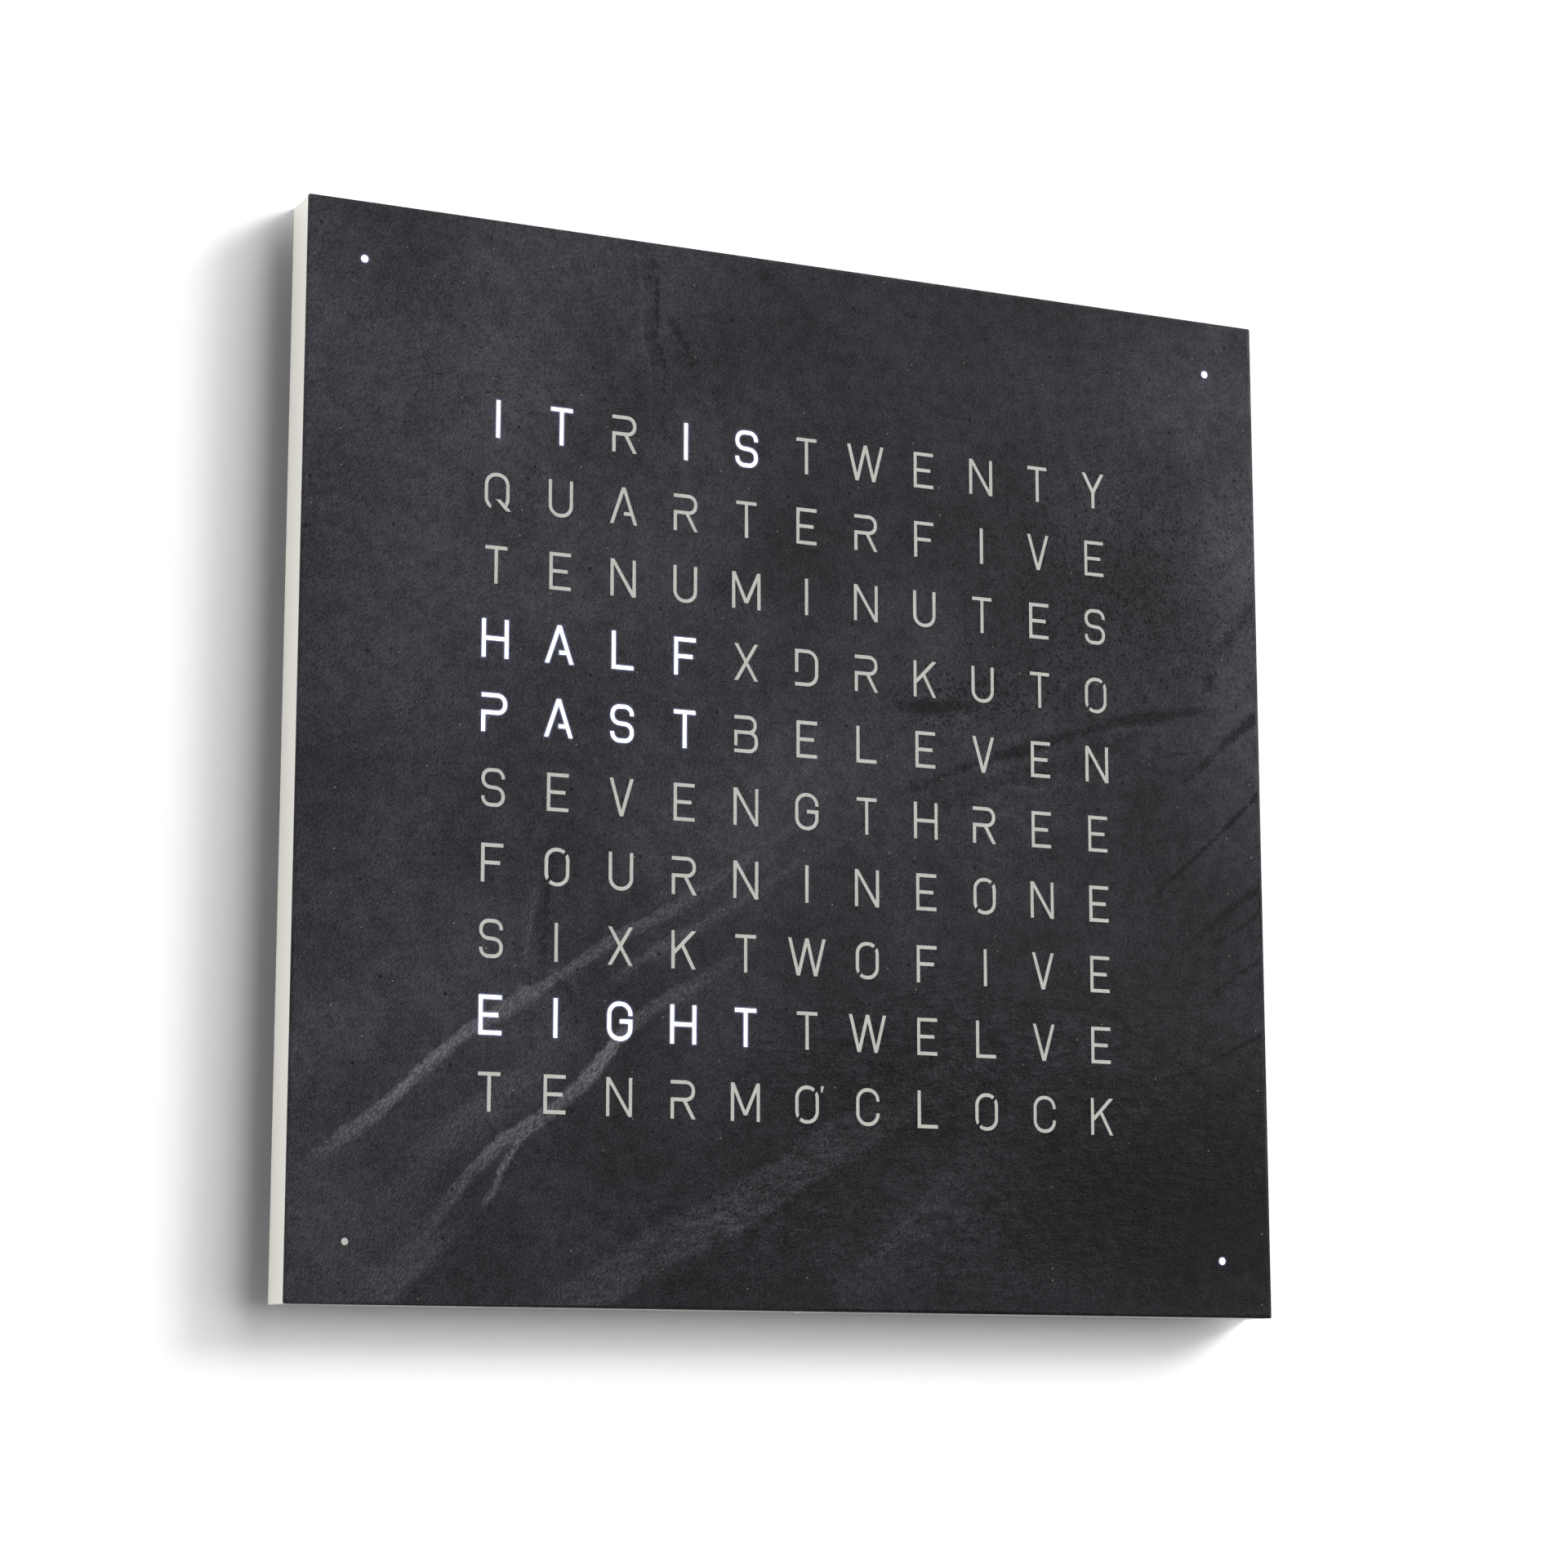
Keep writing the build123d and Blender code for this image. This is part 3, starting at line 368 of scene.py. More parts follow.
def opal_resin() -> bpy.types.Material:
    """Unlit opal resin, ground flush with the stone: matt, with the 0.6 mm grain of a coarse paper.

    Returns:
        The material.
    """
    shader = Shader("unlit_opal_resin", Finish("e8e5de", 0.6, specular=0.35))
    grain = shader.grain(0.6, rough=0.75)
    tint = shader.add("Mix", {0: shader.grain(14.0), 6: "dfdcd5", 7: "f2efe8"}, 2, **COLOURS)
    shader.set("Base Color", shader.vary(tint, grain, 0.16))
    shader.relief((grain, 0.03))
    return shader.material


def cream(name: str, finish: Finish, peel: float, depth: float) -> bpy.types.Material:
    """A sprayed or cast cream surface: satin, with a faint waviness in its reflections.

    Args:
        name: the material's name.
        finish: its plain facts.
        peel: width of the waves in millimetres.
        depth: their height in millimetres.

    Returns:
        The material.
    """
    shader = Shader(name, finish)
    tone = shader.grain(60.0, 2.0)
    fine = shader.grain(0.5, 2.0)
    shader.set("Base Color", shader.shade(shader.shade(finish.colour, tone, 0.975, 1.02), fine, 0.985, 1.015))
    shader.set("Roughness", shader.add("MapRange", {0: tone, 1: 0.2, 2: 0.8, 3: finish.roughness + 0.05,
                                                    4: finish.roughness - 0.04}, **SMOOTH))
    shader.relief((shader.grain(peel, 2.0), depth))
    return shader.material


def moulded(name: str, finish: Finish, grain: float = 0.4, depth: float = 0.02) -> bpy.types.Material:
    """Moulded plastic: a fine spark-eroded texture that breaks up its gloss, and slight flow marks.

    Args:
        name: the material's name.
        finish: its plain facts.
        grain: width of the texture in millimetres, coarser than the tool's 0.1 mm so that it shows.
        depth: its height in millimetres.

    Returns:
        The material.
    """
    shader = Shader(name, finish)
    flow = shader.grain(18.0, 2.0)
    shader.set("Base Color", shader.shade(finish.colour, flow, 0.94, 1.05))
    shader.set("Roughness", shader.add("MapRange", {0: flow, 1: 0.2, 2: 0.8, 3: finish.roughness + 0.06,
                                                    4: finish.roughness - 0.06}, **SMOOTH))
    shader.relief((shader.grain(grain, 2.0, 0.6), depth))
    return shader.material


def plated(name: str, finish: Finish, brush: float = 0.25, stretch: float = 30.0) -> bpy.types.Material:
    """Plated metal: fine rolling lines under the plating draw its highlights out, and faint stains dull them.

    Args:
        name: the material's name.
        finish: its plain facts.
        brush: width of the lines in millimetres.
        stretch: how many times longer than wide they are.

    Returns:
        The material.
    """
    shader = Shader(name, finish)
    lines = shader.grain(brush, climb=4, stretch=stretch)
    stain = shader.grain(6.0, 4.0)
    shader.set("Base Color", shader.shade(shader.shade(finish.colour, stain, 0.82, 1.1), lines, 0.93, 1.05))
    dull = shader.add("MapRange", {0: stain, 1: 0.3, 2: 0.7, 3: 0.0, 4: 0.14}, **SMOOTH)
    ground = shader.add("MapRange", {0: lines, 3: finish.roughness - 0.07, 4: finish.roughness}, **SMOOTH)
    shader.set("Roughness", shader.add("Math", {0: dull, 1: ground}, **PLUS))
    shader.relief((lines, 0.008))
    return shader.material


def circuit_board(name: str, mask: str, track: str, pad: str, pitch: float) -> bpy.types.Material:
    """A circuit board: glossy solder mask raised over square-routed copper tracks, with tinned vias.

    Args:
        name: the material's name.
        mask: hex colour of the mask on bare board.
        track: hex colour of the mask over copper.
        pad: hex colour of the tin on the vias.
        pitch: distance between neighbouring tracks in millimetres, coarser than real ones so that it shows.

    Returns:
        The material.
    """
    shader = Shader(name, Finish(mask, 0.32, coat=0.3, coat_roughness=0.15))
    add = shader.add
    flat = add("Mapping", {"Vector": shader.place, "Rotation": ON_FRONT})
    spot = add("VectorMath", {0: flat, 1: (1 / pitch,) * 3}, **TIMES)
    cell = add("VectorMath", {0: spot}, operation="FLOOR")
    centred = add("VectorMath", {0: spot}, operation="FRACTION")
    centred = add("VectorMath", {0: centred, 1: (0.5,) * 3}, **LESS)
    sides = add("SeparateXYZ", {0: centred}).node.outputs[:2]
    off_x, off_z = (add("Math", {0: side}, operation="ABSOLUTE") for side in sides)
    away = add("Math", {0: add("Math", {0: off_x, 1: 2.0}, operation="POWER"),
                        1: add("Math", {0: off_z, 1: 2.0}, operation="POWER")}, **PLUS)
    away = add("Math", {0: away}, operation="SQRT")
    pick = add("TexWhiteNoise", {"Vector": cell}, "Value", noise_dimensions="2D")

    # Each cell has a level or an upright piece of track, and one in twenty a via
    shapes = []
    rules = ((off_z, 0.15, 0.11, 0.56, 0.55), (off_x, 0.15, 0.11, 0.44, 0.45), (away, 0.3, 0.26, 0.94, 0.95))
    for distance, outer, inner, low, high in rules:
        inside = add("MapRange", {0: distance, 1: outer, 2: inner}, **SMOOTH)
        chosen = add("MapRange", {0: pick, 1: low, 2: high}, **SMOOTH)
        shapes.append(add("Math", {0: inside, 1: chosen}, **TIMES))
    level, upright, via = shapes
    copper = add("Math", {0: level, 1: upright}, **HIGHEST)
    bare = shader.shade(mask, shader.grain(30.0, 2.0), 0.94, 1.04)
    colour = add("Mix", {0: copper, 6: bare, 7: track}, 2, **COLOURS)
    shader.set("Base Color", add("Mix", {0: via, 6: colour, 7: pad}, 2, **COLOURS))
    shader.set("Metallic", via)
    shader.relief((add("Math", {0: copper, 1: via}, **HIGHEST), 0.035))
    return shader.material


def led_package() -> bpy.types.Material:
    """A white ceramic lamp package with grainy yellow phosphor in its well.

    Returns:
        The material.
    """
    shader = Shader("led_package", Finish("efede6", 0.45))
    add = shader.add
    well = (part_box("letter_leds")[0].y + 0.15 * MM) / MM
    depth = add("SeparateXYZ", {0: shader.place}, 1)
    facing = add("SeparateXYZ", {0: add("NewGeometry", out="Normal")}, 1)
    sunk = add("MapRange", {0: depth, 1: well - 0.02, 2: well + 0.02}, **SMOOTH)
    ahead = add("MapRange", {0: facing, 1: -0.9, 2: -0.98}, **SMOOTH)
    phosphor = add("Math", {0: sunk, 1: ahead}, **TIMES)
    yellow = shader.shade("e2c650", shader.grain(0.3), 0.85, 1.1)
    shader.set("Base Color", add("Mix", {0: phosphor, 6: "efede6", 7: yellow}, 2, **COLOURS))
    shader.relief((shader.grain(0.3, 2.0), 0.01))
    return shader.material


def flat_lead() -> bpy.types.Material:
    """Flat cable: separate cores show as ridges under a thin grey sheath, with painted shade between them.

    Returns:
        The material.
    """
    shader = Shader("flat_cable", Finish("bfc1c3", 0.4))
    cores = shader.add("TexWave", {"Vector": shader.place, "Scale": 0.8}, "Fac", bands_direction="X")
    # Painted shade: the sheath is darker in the grooves between the cores
    shader.set("Base Color", shader.shade("bfc1c3", cores, 0.8, 1.05))
    shader.relief((cores, 0.12))
    return shader.material


def finishes() -> dict[str, bpy.types.Material]:
    """Make every material.

    Returns:
        The materials by the name of the record's material slot.
    """
    return {
        "slate": slate(),
        "letter_light": letter_light(),
        "opal_resin": opal_resin(),
        # Cast sheet with a satin edge, and sprayed lacquer with a finer orange peel in the same colour
        "cream_acrylic": cream("cream_acrylic_satin", Finish("e6e4dc", 0.36, specular=0.25, ior=1.49),
                               peel=5.0, depth=0.02),
        "cream_lacquer": cream("cream_lacquer_satin", Finish("e6e4dc", 0.4, specular=0.25),
                               peel=1.6, depth=0.03),
        # Bright zinc has a bluish cast and nickel a warm one; blackening leaves steel dark and half dull
        "steel": plated("zinc_plated_steel", Finish("c4c7cb", 0.34, metallic=1.0)),
        "dark_steel": plated("blackened_steel", Finish("5a5b5f", 0.36, metallic=1.0)),
        "nickel": plated("nickel_plate", Finish("d2cec3", 0.2, metallic=1.0)),
        # An opaque white mask nearly hides its tracks, and a green one shows them lighter
        "white_board": circuit_board("white_circuit_board", "e8e9e6", "dfe0dc", "c9c6bc", 3.0),
        "green_board": circuit_board("green_circuit_board", "14532f", "1e6b3d", "c9c6bc", 1.6),
        "led_white": led_package(),
        # Filled epoxy is matt and near black
        "chip_black": moulded("moulded_epoxy", Finish("1d1d1f", 0.55), 0.2),
        # White nylon, of the light grid, spacers and headers, is half dull
        "white_plastic": moulded("white_moulding", Finish("eeeeea", 0.5)),
        "lead_white": flat_lead(),
        # A drawn can has short fine lines and a clear shine
        "aluminium_can": plated("drawn_aluminium", Finish("d3d4d6", 0.3, metallic=1.0), 0.15, 12.0),
        # Glass-filled nylon, of the cell holder and inlet, is black with a soft sheen
        "black_plastic": moulded("black_moulding", Finish("1a1a1b", 0.45)),
        # Polished acrylic passes light and keeps a sharp gloss
        "clear_plastic": moulded("clear_moulding", Finish("f2f4f4", 0.08, transmission=0.9), 0.4, 0.002),
        # ABS from a coarsely sparked tool is dull, as on the cover, and from a finer one shinier, as on the keys
        "grey_plastic": moulded("warm_grey_moulding", Finish("cbc8be", 0.5), 0.35, 0.03),
        "button_plastic": moulded("charcoal_moulding", Finish("38383b", 0.42), 0.3),
    }


# ---- building helpers ----------------------------------------------------------------------------
def new_object(name: str, data: bpy.types.ID) -> bpy.types.Object:
    """Link a mesh, lamp or camera into the scene as an object at the origin.

    Args:
        name: the object's name.
        data: what it is.

    Returns:
        The object.
    """
    obj = bpy.data.objects.new(name, data)
    bpy.context.scene.collection.objects.link(obj)
    return obj


def only(obj: bpy.types.Object) -> bpy.types.Object:
    """Select one object alone and make it active.

    Args:
        obj: the object.

    Returns:
        The same object.
    """
    bpy.ops.object.select_all(action="DESELECT")
    obj.select_set(True)
    bpy.context.view_layer.objects.active = obj
    return obj


def primitive(kind: str, **options: float | tuple[float, ...]) -> bpy.types.Object:
    """Add one of Blender's primitives and leave it selected alone.

    Args:
        kind: which one, such as "cube".
        options: its size, place and turn.

    Returns:
        The new object.
    """
    bpy.ops.object.select_all(action="DESELECT")
    getattr(bpy.ops.mesh, f"primitive_{kind}_add")(**options)
    return bpy.context.object


def block(size: Triple, place: Vector, turn: Triple) -> bpy.types.Object:
    """Add a block that is turned about its own middle.

    Args:
        size: its length along each of its own axes.
        place: its middle.
        turn: its turn about X, Y and Z in radians.

    Returns:
        The block.
    """
    obj = primitive("cube", size=1, location=place, rotation=turn)
    obj.scale = size
    bpy.ops.object.transform_apply(location=False, rotation=False, scale=True)
    return obj


def alter(obj: bpy.types.Object, kind: str, **settings: object) -> None:
    """Put one modifier on an object and apply it.

    Args:
        obj: the object.
        kind: the modifier's type.
        settings: the modifier's own options.
    """
    modifier = only(obj).modifiers.new(kind, kind)
    for key, value in settings.items():
        setattr(modifier, key, value)
    bpy.ops.object.modifier_apply(modifier=modifier.name)


def cut(obj: bpy.types.Object, cutter: bpy.types.Object) -> None:
    """Take a cutter's shape out of an object and drop the cutter."""
    alter(obj, "BOOLEAN", object=cutter, solver="EXACT")
    bpy.data.objects.remove(cutter)


def smooth(obj: bpy.types.Object, steepest: float) -> None:
    """Shade an object smooth, apart from edges steeper than so many degrees."""
    only(obj)
    bpy.ops.object.shade_smooth_by_angle(angle=math.radians(steepest))


def weld(obj: bpy.types.Object, gap: float, turn_out: bool = False) -> None:
    """Join the vertices of an object that are no more than a gap apart.

    Args:
        obj: the object.
        gap: that distance.
        turn_out: whether its faces are turned outwards too.
    """
    only(obj)
    bpy.ops.object.mode_set(mode="EDIT")
    bpy.ops.mesh.select_all(action="SELECT")
    bpy.ops.mesh.remove_doubles(threshold=gap)
    if turn_out:
        bpy.ops.mesh.normals_make_consistent(inside=False)
    bpy.ops.object.mode_set(mode="OBJECT")


def merged_copy(node: str, name: str) -> bpy.types.Object:
    """Copy a CAD node and join the vertices that its faces share.

    Args:
        node: the node's name.
        name: the copy's name.

    Returns:
        The copy.
    """
    obj = new_object(name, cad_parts[node].data.copy())
    weld(obj, WELD)
    return obj


def read_node(node: str) -> bmesh.types.BMesh:
    """Open a copy of a CAD node's mesh, its shared vertices joined, to be measured and then freed.

    Args:
        node: the node's name.

    Returns:
        The open mesh.
    """
    mesh = bmesh.new()
    mesh.from_mesh(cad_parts[node].data)
    bmesh.ops.remove_doubles(mesh, verts=mesh.verts, dist=WELD)
    mesh.normal_update()
    return mesh


def search_tree(points: list[Vector]) -> kdtree.KDTree:
    """Put points into a tree that finds the nearest one.

    Args:
        points: the points.

    Returns:
        The tree.
    """
    tree = kdtree.KDTree(len(points))
    for index, point in enumerate(points):
        tree.insert(point, index)
    tree.balance()
    return tree


def within(node: str, across: float, up: float) -> Point:
    """A place given as shares of a node's width and height.

    Args:
        node: the node's name.
        across: 0 at its left side, 1 at its right side, as seen from the front.
        up: 0 at its foot, 1 at its top.

    Returns:
        The place's X and Z.
    """
    low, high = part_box(node)
    return low.x + across * (high.x - low.x), low.z + up * (high.z - low.z)


def scatter(blank: bpy.types.Object, moves: list[Matrix], name: str,
            material: bpy.types.Material) -> bpy.types.Object:
    """Copy a blank's mesh to each place, as one object, and drop the blank.

    Args:
        blank: what is copied.
        moves: where each copy goes.
        name: the new object's name.
        material: what it is made of.

    Returns:
        The new object.
    """
    mesh = bmesh.new()
    for move in moves:
        known = set(mesh.verts)
        mesh.from_mesh(blank.data)
        bmesh.ops.transform(mesh, matrix=move, verts=[vert for vert in mesh.verts if vert not in known])
    data = bpy.data.meshes.new(name)
    mesh.to_mesh(data)
    mesh.free()
    bpy.data.objects.remove(blank)
    data.materials.clear()
    data.materials.append(material)
    obj = new_object(name, data)
    smooth(obj, 35)
    return obj


# ---- slate ---------------------------------------------------------------------------------------
@dataclass(frozen=True)
class Vein:
    """A cleavage mark on the front; its lengths are millimetres.

    Attributes:
        kind: what it does to the stone.
        path: the points (x, z) that it runs through, from the middle of the front.
        width: how wide it is.
        edge: how wide the fade along each of its sides is.
        strength: how strong it is.
        sink: how deep it lies.
        lean: share by which the fade is wider to the right of the path, and narrower to its left.
        tapers: shares of its length over which it fades in and out.
    """

    kind: Mark
    path: tuple[Point, ...]
    width: float
    edge: float
    strength: float
    sink: float = 0.0
    lean: float = 0.0
    tapers: tuple[float, float] = (0.1, 0.2)

    def share(self, points: np.ndarray, wobble: np.ndarray | float) -> np.ndarray:
        """Work out how strongly the mark shows at each point.

        Args:
            points: N x 2 places.
            wobble: N offsets that make its edges uneven, or one for all.

        Returns:
            N values from 0 to 1.
        """
        corners = np.array(self.path, float)
        runs = np.linalg.norm(np.diff(corners, axis=0), axis=1)
        starts = np.concatenate([[0.0], np.cumsum(runs)])
        best = np.full(len(points), np.inf)
        side, place = np.zeros(len(points)), np.zeros(len(points))
        for index, run in enumerate(runs):
            along = (corners[index + 1] - corners[index]) / run
            offset = points - corners[index]
            travel = np.clip(offset @ along, 0, run)
            gap = offset - travel[:, None] * along
            distance = np.linalg.norm(gap, axis=1)
            nearer = distance < best
            best = np.where(nearer, distance, best)
            side = np.where(nearer, np.sign(along[0] * gap[:, 1] - along[1] * gap[:, 0]), side)
            place = np.where(nearer, (starts[index] + travel) / starts[-1], place)
        edge = self.edge * np.where(side < 0, 1 + self.lean, 1 - min(self.lean, 0.8))
        inside = np.clip((self.width / 2 + edge / 2 - best - wobble) / edge, 0, 1)
        start, end = (max(taper, TINY) for taper in self.tapers)
        taper = np.clip(place / start, 0, 1) * np.clip((1 - place) / end, 0, 1)
        return inside * inside * (3 - 2 * inside) * taper


VEINS = (
    Vein(Mark.PALE, ((-222, -177), (-215, -168), (-200, -158), (-186, -147), (-170, -132), (-153, -117),
         (-144, -111), (-117, -95), (-88, -75), (-60, -60), (-20, -32), (5, -12)), 5.0, 2.0, 0.7, 0.10,
         0.5, (0.2, 0.75)),
    Vein(Mark.PALE, ((-192, -152), (-171, -133), (-155, -119), (-145, -111)), 3.4, 2.0, 1.0, 0.06, 0.5,
         (0.3, 0.3)),
    Vein(Mark.PALE, ((-95, -98), (-77, -84), (-43, -63), (-10, -42), (20, -24)), 3.6, 4.5, 0.35, 0.05,
         0.4, (0.2, 0.6)),
    Vein(Mark.PALE, ((-182, -198), (-171, -195), (-162, -189), (-150, -173), (-135, -159), (-120, -150),
         (-107, -140), (-96, -129), (-84, -114), (-70, -102), (-48, -90), (-20, -70)), 5.2, 2.4, 0.6,
         0.10, 0.4, (0.3, 0.5)),
    Vein(Mark.PALE, ((-107, -141), (-96, -129), (-90, -121), (-84, -114), (-74, -105)), 4.6, 2.4, 1.1,
         0.08, 0.3, (0.25, 0.4)),
    Vein(Mark.PALE, ((-145, -187), (-138, -178), (-136, -171), (-131, -163), (-125, -155), (-119, -150)),
         1.8, 1.8, 0.62, 0.06, 0.3, (0.2, 0.2)),
    Vein(Mark.PALE, ((-188, -198), (-177, -182), (-166, -165), (-143, -147), (-120, -128), (-100, -108)),
         14.0, 9.0, 0.2, 0.04, 0.4, (0.4, 0.4)),
    Vein(Mark.PALE, ((-192, -226), (-172, -206), (-154, -187)), 14.0, 7.0, 0.17, 0.04, -0.6, (0.2, 0.3)),
    Vein(Mark.PALE, ((-118, -232), (-84, -211), (-60, -198), (-48, -193), (-22, -178), (5, -160),
         (50, -134), (80, -112)), 17.0, 3.5, 0.17, 0.10, -0.5, (0.1, 0.5)),
    Vein(Mark.PALE, ((12, -228), (45, -190), (80, -162), (100, -140)), 12.0, 16.0, 0.1, 0.03, 0.4,
         (0.1, 0.5)),
    Vein(Mark.PALE, ((-121, -45), (-123, -64), (-126, -80), (-127, -92)), 0.8, 2.2, 0.4, 0.05, 0.0,
         (0.3, 0.3)),
    Vein(Mark.PALE, ((-81, 226), (-77, 205), (-77, 184), (-73, 168), (-73, 140)), 0.6, 1.8, 0.3, 0.03,
         0.0, (0.2, 0.5)),
    Vein(Mark.DARK, ((228, 100), (214, 83), (205, 72), (201, 61), (198, 52), (192, 44)), 3.0, 11.0, 0.75,
         0.06, 0.2, (0.1, 0.2)),
    Vein(Mark.DARK, ((209, 47), (192, 43), (171, 39), (151, 35), (135, 30), (107, 20), (75, 9), (43, -5),
         (10, -24)), 3.4, 6.0, 1.0, 0.10, 0.3, (0.1, 0.5)),
    Vein(Mark.DARK, ((190, 36), (157, 30), (143, 21), (110, 9), (88, 3), (68, -6), (20, -34)), 6.0, 15.0,
         0.64, 0.05, 0.3, (0.25, 0.45)),
    Vein(Mark.DARK, ((228, 48), (216, 37), (207, 29), (199, 22), (182, 7), (170, -12)), 2.8, 6.0, 1.0,
         0.10, 0.4, (0.0, 0.6)),
    Vein(Mark.DARK, ((202, 27), (190, 24), (180, 23), (165, 18), (148, 15)), 0.9, 1.4, 1.1, 0.08, 0.0,
         (0.3, 0.6)),
    Vein(Mark.DARK, ((228, 12), (217, 1), (205, -10), (195, -19), (175, -36), (158, -52)), 1.6, 2.6, 1.1,
         0.10, 0.2, (0.0, 0.5)),
    Vein(Mark.DARK, ((228, -32), (211, -43), (197, -54), (183, -65), (166, -70)), 2.4, 4.0, 1.0, 0.08,
         0.2, (0.0, 0.6)),
    Vein(Mark.DARK, ((228, -42), (215, -52), (202, -60), (188, -70)), 1.2, 2.4, 1.0, 0.06, 0.0,
         (0.0, 0.5)),
    Vein(Mark.DARK, ((228, -64), (212, -74), (192, -88), (170, -100)), 1.4, 3.0, 0.95, 0.06, 0.3,
         (0.0, 0.6)),
    Vein(Mark.DARK, ((228, -98), (208, -108), (188, -118), (160, -128)), 1.2, 2.6, 0.95, 0.06, 0.0,
         (0.0, 0.6)),
    Vein(Mark.DARK, ((-74, 226), (-71, 205), (-72, 182), (-66, 170), (-67, 146), (-68, 122)), 4.0, 12.0,
         0.6, 0.06, 0.8, (0.1, 0.4)),
    Vein(Mark.DARK, ((-69, 197), (-60, 188), (-54, 176), (-62, 164)), 7.0, 10.0, 0.66, 0.05, 0.0,
         (0.3, 0.3)),
    Vein(Mark.DARK, ((-113, -30), (-117, -53), (-119, -77), (-119, -94)), 3.5, 10.0, 0.62, 0.06, 0.7,
         (0.3, 0.2)),
    Vein(Mark.DARK, ((-116, -90), (-108, -97), (-101, -106)), 4.0, 10.0, 0.75, 0.06, 0.0, (0.3, 0.3)),
    Vein(Mark.DARK, ((32, 33), (44, 34), (55, 34), (66, 35), (84, 37), (100, 45)), 5.0, 8.0, 1.0, 0.06,
         0.0, (0.3, 0.6)),
    Vein(Mark.DARK, ((-26, 219), (-16, 214), (-6, 211)), 4.0, 9.0, 0.5, 0.04),
    Vein(Mark.DARK, ((98, -93), (112, -93), (128, -95), (146, -97), (164, -93)), 0.5, 1.3, 1.1, 0.10, 0.0,
         (0.2, 0.4)),
)


@dataclass(frozen=True)
class Zone:
    """A soft oval part of the front where a mark is stronger or weaker; its lengths are millimetres.

    Attributes:
        kind: the mark.
        centre: its middle (x, z).
        reach: how far it reaches along and across itself.
        strength: what it adds to the mark at its middle.
        climb: degrees from +X towards +Z of the line that it lies along.
    """

    kind: Mark
    centre: Point
    reach: Point
    strength: float
    climb: float = 0.0

    def share(self, points: np.ndarray) -> np.ndarray:
        """Work out the zone's part in its mark.

        Args:
            points: N x 2 places.

        Returns:
            N values.
        """
        angle = math.radians(self.climb)
        offset = points - self.centre
        along = offset @ (math.cos(angle), math.sin(angle)) / self.reach[0]
        across = offset @ (-math.sin(angle), math.cos(angle)) / self.reach[1]
        return self.strength * np.exp(-(along ** 2 + across ** 2))


ZONES = (
    Zone(Mark.PITS, (150, 95), (85, 75), 0.95, 30),
    Zone(Mark.PITS, (70, 38), (45, 16), 0.8, 10),
    Zone(Mark.PITS, (-150, 150), (80, 80), 0.35),
    Zone(Mark.PITS, (-105, -100), (25, 20), 0.5),
    Zone(Mark.RIPPLE, (55, -118), (90, 34), 1.0, 5),
    Zone(Mark.RIPPLE, (-25, -188), (75, 28), 0.9, 15),
    Zone(Mark.RIPPLE, (110, 0), (80, 30), 0.45, 25),
    Zone(Mark.RIPPLE, (150, -165), (85, 55), 0.8, 20),
    Zone(Mark.RIPPLE, (75, -200), (60, 28), 0.5, 10),
    # Zones where the stone is darker or lighter; the strong one on the right edge, at (235, 120), is a painted
    # sheen
    Zone(Mark.LIGHT, (-160, 150), (110, 110), 0.52),
    Zone(Mark.LIGHT, (-210, -120), (60, 68), 0.52),
    Zone(Mark.LIGHT, (235, 120), (52, 95), 1.1),
    Zone(Mark.LIGHT, (-20, 10), (130, 60), 0.16, 35),
    Zone(Mark.LIGHT, (-60, 15), (70, 50), 0.28),
    Zone(Mark.LIGHT, (195, -15), (45, 40), -0.22),
    Zone(Mark.LIGHT, (190, -105), (50, 30), 0.2),
    Zone(Mark.LIGHT, (-20, -222), (65, 16), -0.45),
    Zone(Mark.LIGHT, (190, -180), (130, 80), -0.78),
    Zone(Mark.LIGHT, (-60, -195), (80, 35), -0.3, 25),
    Zone(Mark.LIGHT, (15, 165), (95, 75), -0.26, -6),
    Zone(Mark.LIGHT, (40, -125), (100, 35), -0.22, 5),
)


def waver(spots: np.ndarray, size: float, layer: float) -> np.ndarray:
    """Smooth noise over the front, from about -1 to 1.

    Args:
        spots: N x 2 places.
        size: how wide its swells are.
        layer: which of many such patterns it is.

    Returns:
        N values.
    """
    return np.array([noise.noise(Vector((x / size, z / size, layer))) for x, z in spots])


